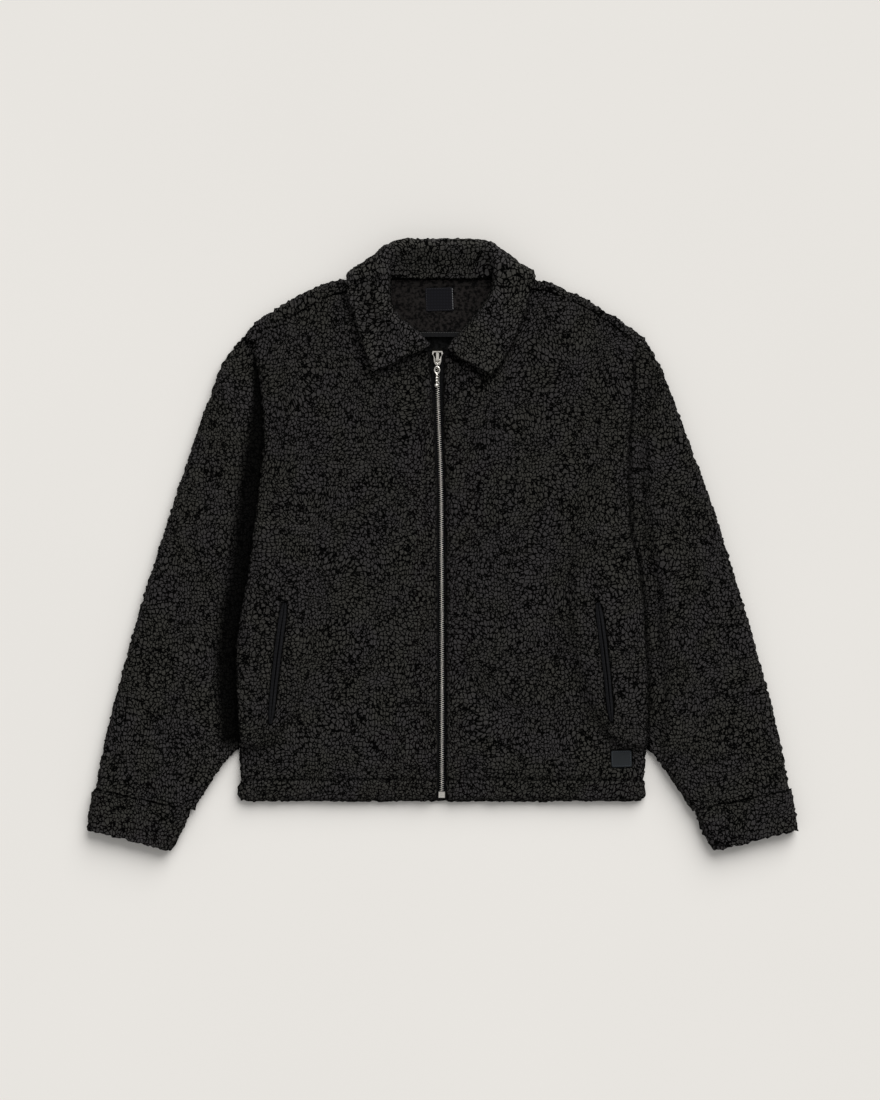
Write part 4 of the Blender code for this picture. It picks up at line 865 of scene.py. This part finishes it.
def plain_weave(name, shade, thread_mm, roughness, sheen, diagonal=0.0):
    """Close woven cloth: two crossing sets of threads, drawn at thread_mm, with a little unevenness."""
    material, tree, place = new_material(name)
    place = add(tree, "Mapping", {"Vector": place, "Rotation": (0, 0, diagonal)})
    threads = [add(tree, "TexWave", {
        "Vector": place, "Scale": 1000 / thread_mm / 20, "Distortion": 0.6, "Detail": 1.0,
    }, out="Fac", bands_direction=axis) for axis in "XY"]
    weave = add(tree, "Math", {0: threads[0], 1: threads[1]}, operation="MULTIPLY")
    noise = add(tree, "TexNoise", {"Vector": place, "Scale": 400.0, "Detail": 4.0}, out="Fac")
    worn = add(tree, "Math", {0: weave, 1: noise}, operation="ADD")
    bump = add(tree, "Bump", {"Height": weave, "Distance": 0.0002, "Strength": 0.5})
    shader = add(tree, "BsdfPrincipled", {
        "Base Color": uneven(tree, shade, worn, 0.3, 1.3, 0.7, 1.3), "Roughness": roughness,
        "Specular IOR Level": 0.1, "Normal": bump, "Sheen Weight": sheen, "Sheen Roughness": 0.3,
    })
    add(tree, "OutputMaterial", {"Surface": shader})
    return material


def thread(name, shade):
    """Spun polyester sewing thread: soft lustre, a little darker between the plies."""
    material, tree, place = new_material(name)
    plies = add(tree, "TexNoise", {"Vector": place, "Scale": 1600.0, "Detail": 1.0}, out="Fac")
    shader = add(tree, "BsdfPrincipled", {
        "Base Color": uneven(tree, shade, plies, 0.3, 0.7, 0.7, 1.2), "Roughness": 0.6,
        "Specular IOR Level": 0.3, "Sheen Weight": 0.1,
    })
    add(tree, "OutputMaterial", {"Surface": shader})
    return material


def dress(material, *nodes):
    """Gives solids of the frame their finish."""
    for node in nodes:
        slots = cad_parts[node].data.materials
        slots.clear()
        slots.append(material)


EIGHTHS = np.radians(np.arange(22.5, 360, 45))


def bar_faces(rows):
    """The side faces of a bar of rows of eight-sided rings."""
    row, k = np.divmod(np.arange((rows - 1) * 8), 8)
    here, after = row * 8 + k, row * 8 + (k + 1) % 8
    return np.stack([here, here + 8, after + 8, after], axis=1)


def repeated(points, quads, places):
    """Many copies of a small shape as one mesh, one at each place."""
    shift = np.arange(len(places))[:, None, None] * len(points)
    return (points[None] + places[:, None]).reshape(-1, 3), (quads[None] + shift).reshape(-1, 4)


def stitches(name, corners, material, slot, length=2.2, apart=2.9, radius=0.32):
    """Sewn stitches along straight runs between corners, x, y, z: each a rounded bar, its ends bent down."""
    corners, up = np.asarray(corners, float), np.array([0, 0, 1.0])
    # The rings of a stitch: place along it in lengths, thickness as a share, height.
    stations = np.array([(-0.5, 0.5, -0.25), (-0.35, 1, 0.05), (0.35, 1, 0.05), (0.5, 0.5, -0.25)])
    points, faces, base = [], [], 0
    for a, b in zip(corners[:-1], corners[1:]):
        far = np.linalg.norm(b - a)
        way = (b - a) / far
        circle = np.cos(EIGHTHS)[:, None] * np.cross(up, way) + np.sin(EIGHTHS)[:, None] * up
        bar = stations[:, 1, None, None] * radius * circle
        bar = bar + (stations[:, :1] * length * way + stations[:, 2:] * up)[:, None]
        count = max(int(far / apart), 1)
        steps = (np.arange(count) + 0.5) * far / count
        outwards = bar_faces(len(stations))[:, [0, 3, 2, 1]]
        more, added = repeated(bar.reshape(-1, 3), outwards, a + steps[:, None] * way)
        points.append(more)
        faces.append(added + base)
        base += len(more)
    fasten(mesh_object(name, np.concatenate(points), np.concatenate(faces), material), slot)


def top_of(node):
    """The height of a solid's highest point, in millimetres."""
    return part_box(node)[1][2] / MM


def turned_box(plate, inset, node, above):
    """The four corners of a tilted plate's outline, inset, just above a solid, and the first again."""
    half, turn = np.array([plate["half_x"], plate["half_y"]]) - inset, plate["tilt"]
    spots = half * np.array([(-1, -1), (1, -1), (1, 1), (-1, 1), (-1, -1)])
    spots = spots @ np.array([(np.cos(turn), np.sin(turn)), (-np.sin(turn), np.cos(turn))])
    return at_heights(spots + (plate["x"], plate["y"]), np.full(5, top_of(node) + above))


LABEL = {"x": -4.0, "y": 306.3, "half_x": 17.0, "half_y": 14.5, "tilt": 0.035}
BINDING_X, BINDING_Y = (-38, 30), 264.6
dress(smooth_knit("black brushed knit", "#151312"), "neck_facing", "neck_tape")
dress(plain_weave("black woven binding", "#151516", 0.8, 0.75, 0.02), "facing_binding")
dress(plain_weave("black satin", "#0b0b10", 0.6, 0.5, 0.01), "neck_label")
stitches("label_stitches", turned_box(LABEL, 1.2, "neck_label", 0.1), thread("dark thread", "#1c1c20"),
         "satin")
stitches("label_edge", turned_box(LABEL, (0.3, 1.0), "neck_label", 0.1)[1:3],
         thread("pale grey thread", "#8a8a8c"), "satin", 2.6, 2.7, 0.25)
stitches("binding_stitches", [(x, BINDING_Y, top_of("facing_binding") + 0.1) for x in BINDING_X],
         thread("grey thread", "#3c3b3a"), "smooth_cloth")


# -------------------------------------------------------------------------------------------------------
# The pockets: each slit is lined by two folded welts of smooth woven cloth, sewn in under the cut edges of
# the fleece. Their rolled folds meet over the slit and leave a thin dark line between them.

WELT_CLOTH = plain_weave("black smooth pocket cloth", "#121214", 0.7, 0.6, 0.02)
# How far the rolled edge rises over its flat strip, half the line between the two, and how far the roll's top
# stays under the front's.
WELT_ROLL, WELT_SLIT, WELT_SUNK = 1.5, 0.5, 1.0
for word, side in SIDES.items():
    (x0, y0), (x1, y1) = POCKETS[side]
    run = np.array([x1 - x0, y1 - y0]) / np.hypot(x1 - x0, y1 - y0)
    t = np.linspace(POCKET_END, 1 - POCKET_END, 90)
    middle_line = np.stack([x0 + (x1 - x0) * t, y0 + (y1 - y0) * t], axis=1)
    _, front_top = front_heights(side, middle_line[:, 0], middle_line[:, 1], 30.0)
    taper = slit_taper(np.minimum(t, 1 - t) * POCKET_LONG)
    strip_wide = ((POCKET_W / 2 * (1 - POCKET_TAPER * t) - GAP) * taper + 0.5)[:, None]
    middle_bow = np.sin(np.pi * t)[:, None]
    share = np.linspace(0, 1, 13)
    rise = WELT_ROLL * rounded(share, 0.35) * (1 - 0.45 * smooth((share - 0.3) / 0.7))
    for part, way in (("inner", -1), ("outer", 1)):
        far = WELT_SLIT * middle_bow + (strip_wide - WELT_SLIT) * share
        aside = POCKET_BOW * middle_bow + way * far
        spots = middle_line[:, None] + side * aside[..., None] * np.array([-run[1], run[0]])
        crease = 0.35 * drift(at_heights(spots, np.zeros(spots.shape[:2])), 9.0, 71 + way)[..., 0]
        heights = front_top[:, None] - WELT_SUNK - WELT_ROLL + rise + crease
        welt = surface(f"welt_{part}_{word}_roll", at_heights(spots, heights), WELT_CLOTH, side * way)
        fasten(welt, "smooth_cloth", f"welt_{part}_{word}")


# -------------------------------------------------------------------------------------------------------
# The patch at the left hem: a thin plate of moulded rubber, bare, sewn on through the fleece with one round
# of stitches. Its plate stays as the frame has it.

def moulded_rubber(name, shade):
    """Soft moulded rubber: a matt skin with a fine grain."""
    material, tree, place = new_material(name)
    grain = add(tree, "TexNoise", {"Vector": place, "Scale": 700.0, "Detail": 3.0}, out="Fac")
    bump = add(tree, "Bump", {"Height": grain, "Distance": 0.0001, "Strength": 0.3})
    shader = add(tree, "BsdfPrincipled", {
        "Base Color": uneven(tree, shade, grain, 0.3, 0.7, 0.85, 1.15), "Roughness": 0.6,
        "Specular IOR Level": 0.15, "Normal": bump,
    })
    add(tree, "OutputMaterial", {"Surface": shader})
    return material


dress(moulded_rubber("dark moulded rubber", "#202325"), "patch")
stitches("patch_stitches", turned_box(PATCH, 1.6, "patch", 0.05), thread("blue-grey thread", "#3a4048"),
         "patch_cloth", 1.8, 2.4, 0.28)


# -------------------------------------------------------------------------------------------------------
# The zip: two woven tapes, nickel-plated teeth clamped on their edges, a bottom box, top stops, and a cast
# slider with its pull, a ring and beads. The teeth mesh, and take the place of the frame's plain strips.

def nickel(name, shade, roughness):
    """Nickel plate, lightly worn: the polish and the tone vary with noise."""
    material, tree, place = new_material(name)
    wear = add(tree, "TexNoise", {"Vector": place, "Scale": 500.0, "Detail": 4.0}, out="Fac")
    polish = add(tree, "MapRange", {0: wear, 1: 0.3, 2: 0.7, 3: roughness - 0.08, 4: roughness + 0.15})
    shader = add(tree, "BsdfPrincipled", {
        "Base Color": uneven(tree, shade, wear, 0.3, 0.7, 1.1, 0.75), "Metallic": 1.0, "Roughness": polish,
    })
    add(tree, "OutputMaterial", {"Surface": shader})
    return material


NICKEL = nickel("worn nickel plate", "#e2ded6", 0.34)
TEETH_NICKEL = nickel("nickel-plated teeth", "#eeeae2", 0.32)
# A near-black nickel: the top stops are dressed in it, and it paints shade on the floor of the slider's
# hollow.
DARK_NICKEL_AND_SHADE = nickel("blackened nickel in the slider's hollow", "#161514", 0.6)
TAPE = plain_weave("black zip tape", "#0a0a0b", 0.9, 0.8, 0.02, diagonal=0.8)
TEETH_PITCH, TEETH_FIRST_Y, TEETH_LAST_Y, TEETH_Z = 2.6, -308.0, 221.5, 8.3
# The rings of a tooth: x from the chain's middle outwards, half-length along the zip, height of the bar.
TOOTH = np.array([
    (2.75, 0.26, 1.5), (2.6, 0.38, 2.1), (1.3, 0.36, 2.3), (0.2, 0.44, 2.5), (-0.45, 0.4, 2.3),
    (-0.6, 0.25, 1.5),
])
# The floor of the slider's hollow, between rim and bridge, is painted black as shade: its middle height and
# its reach.
HOLLOW_Z, HOLLOW_REACH = 11.25, 0.35


def tooth(side):
    """One tooth lying across the tape's edge: a rounded bar from the clamped leg to the head, closed."""
    ring = np.clip(np.stack([np.cos(EIGHTHS), np.sin(EIGHTHS)], axis=1) * 1.08, -1, 1)
    points = [np.stack([
        np.full(8, side * x), half * ring[:, 0], TEETH_Z + tall / 2 * (1 + ring[:, 1]),
    ], axis=1) for x, half, tall in TOOTH]
    cap = np.array([(0, 1, 2, 3), (0, 3, 4, 7), (4, 5, 6, 7)])
    quads = np.concatenate([bar_faces(len(TOOTH)), cap[:, ::-1], cap + (len(TOOTH) - 1) * 8])
    return np.concatenate(points), quads[:, ::-side]


for word, side in SIDES.items():
    dress(TAPE, f"zip_tape_{word}")
    dress(DARK_NICKEL_AND_SHADE, f"zip_stop_{word}")
    tooth_y = np.arange(TEETH_FIRST_Y + (TEETH_PITCH / 2 if side > 0 else 0), TEETH_LAST_Y, TEETH_PITCH)
    places = np.stack([zip_middle(tooth_y), tooth_y, np.zeros_like(tooth_y)], axis=1)
    teeth = mesh_object(f"zip_teeth_{word}_row", *repeated(*tooth(side), places), TEETH_NICKEL)
    fasten(teeth, "zip_metal", f"zip_teeth_{word}")
for node in ("zip_box", "zip_slider", "pull_ring"):
    dress(NICKEL, node)
    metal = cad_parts[node].data
    metal.shade_smooth()
    metal.set_sharp_from_angle(angle=np.radians(50))
slider_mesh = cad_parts["zip_slider"].data
slider_mesh.materials.append(DARK_NICKEL_AND_SHADE)
facing_way, face_middle = np.empty((2, len(slider_mesh.polygons) * 3), np.float32)
slider_mesh.polygons.foreach_get("normal", facing_way)
slider_mesh.polygons.foreach_get("center", face_middle)
# The faces of the hollow's floor take the painted black shade.
floor = (facing_way[2::3] > 0.9) & (np.abs(face_middle[2::3] / MM - HOLLOW_Z) < HOLLOW_REACH)
slider_mesh.polygons.foreach_set("material_index", floor.astype(np.int32))


# -------------------------------------------------------------------------------------------------------
# The ground: a plain pale painted board, with soft studio light from the upper right, a wide, even fill, and
# the camera straight above.

def painted_board(name):
    """Matt painted board, a warm grey white."""
    material, tree, place = new_material(name)
    mottle = add(tree, "TexNoise", {"Vector": place, "Scale": 1.5, "Detail": 2.0}, out="Fac")
    base = uneven(tree, "#e8e5e0", mottle, 0.3, 0.7, 0.99, 1.01)
    shader = add(tree, "BsdfPrincipled", {"Base Color": base, "Roughness": 0.9, "Specular IOR Level": 0.1})
    add(tree, "OutputMaterial", {"Surface": shader})
    return material


GROUND_ENDS, GROUND_Z = (-6000.0, 6000.0), -0.3
ground_plan = np.stack(np.meshgrid(GROUND_ENDS, GROUND_ENDS, indexing="ij"), axis=-1)
ground_grid = at_heights(ground_plan, np.full((2, 2), GROUND_Z))
ground = surface("ground", ground_grid, painted_board("matt painted board"))

FILL_STRENGTH = 0.42
world = bpy.data.worlds.new("studio fill")
bpy.context.scene.world = world
world.use_nodes = True
world.node_tree.nodes["Background"].inputs["Color"].default_value = colour("#ffffff")
world.node_tree.nodes["Background"].inputs["Strength"].default_value = FILL_STRENGTH

# A broad, far soft box: its direction, the angle it fills in the sky, its strength.
KEY_TOWARDS, KEY_DEGREES, KEY_STRENGTH = Vector((0.33, 0.74, 0.64)), 52, 2.93
key = bpy.data.objects.new("key", bpy.data.lights.new("key", "SUN"))
key.data.angle, key.data.energy = np.radians(KEY_DEGREES), KEY_STRENGTH
key.location = KEY_TOWARDS * 3
key.rotation_mode = "QUATERNION"
key.rotation_quaternion = (-KEY_TOWARDS).to_track_quat("-Z", "Y")
bpy.context.collection.objects.link(key)

CAMERA_HEIGHT, VIEW_HEIGHT = 4.0, 1.375
camera = bpy.data.objects.new("camera", bpy.data.cameras.new("camera"))
camera.data.sensor_width = 36.0
camera.data.lens = camera.data.sensor_width * CAMERA_HEIGHT / VIEW_HEIGHT
camera.location = (-0.0031, -0.0069, CAMERA_HEIGHT + 0.01)
bpy.context.collection.objects.link(camera)
bpy.context.scene.camera = camera
bpy.context.scene.view_settings.view_transform = "Standard"
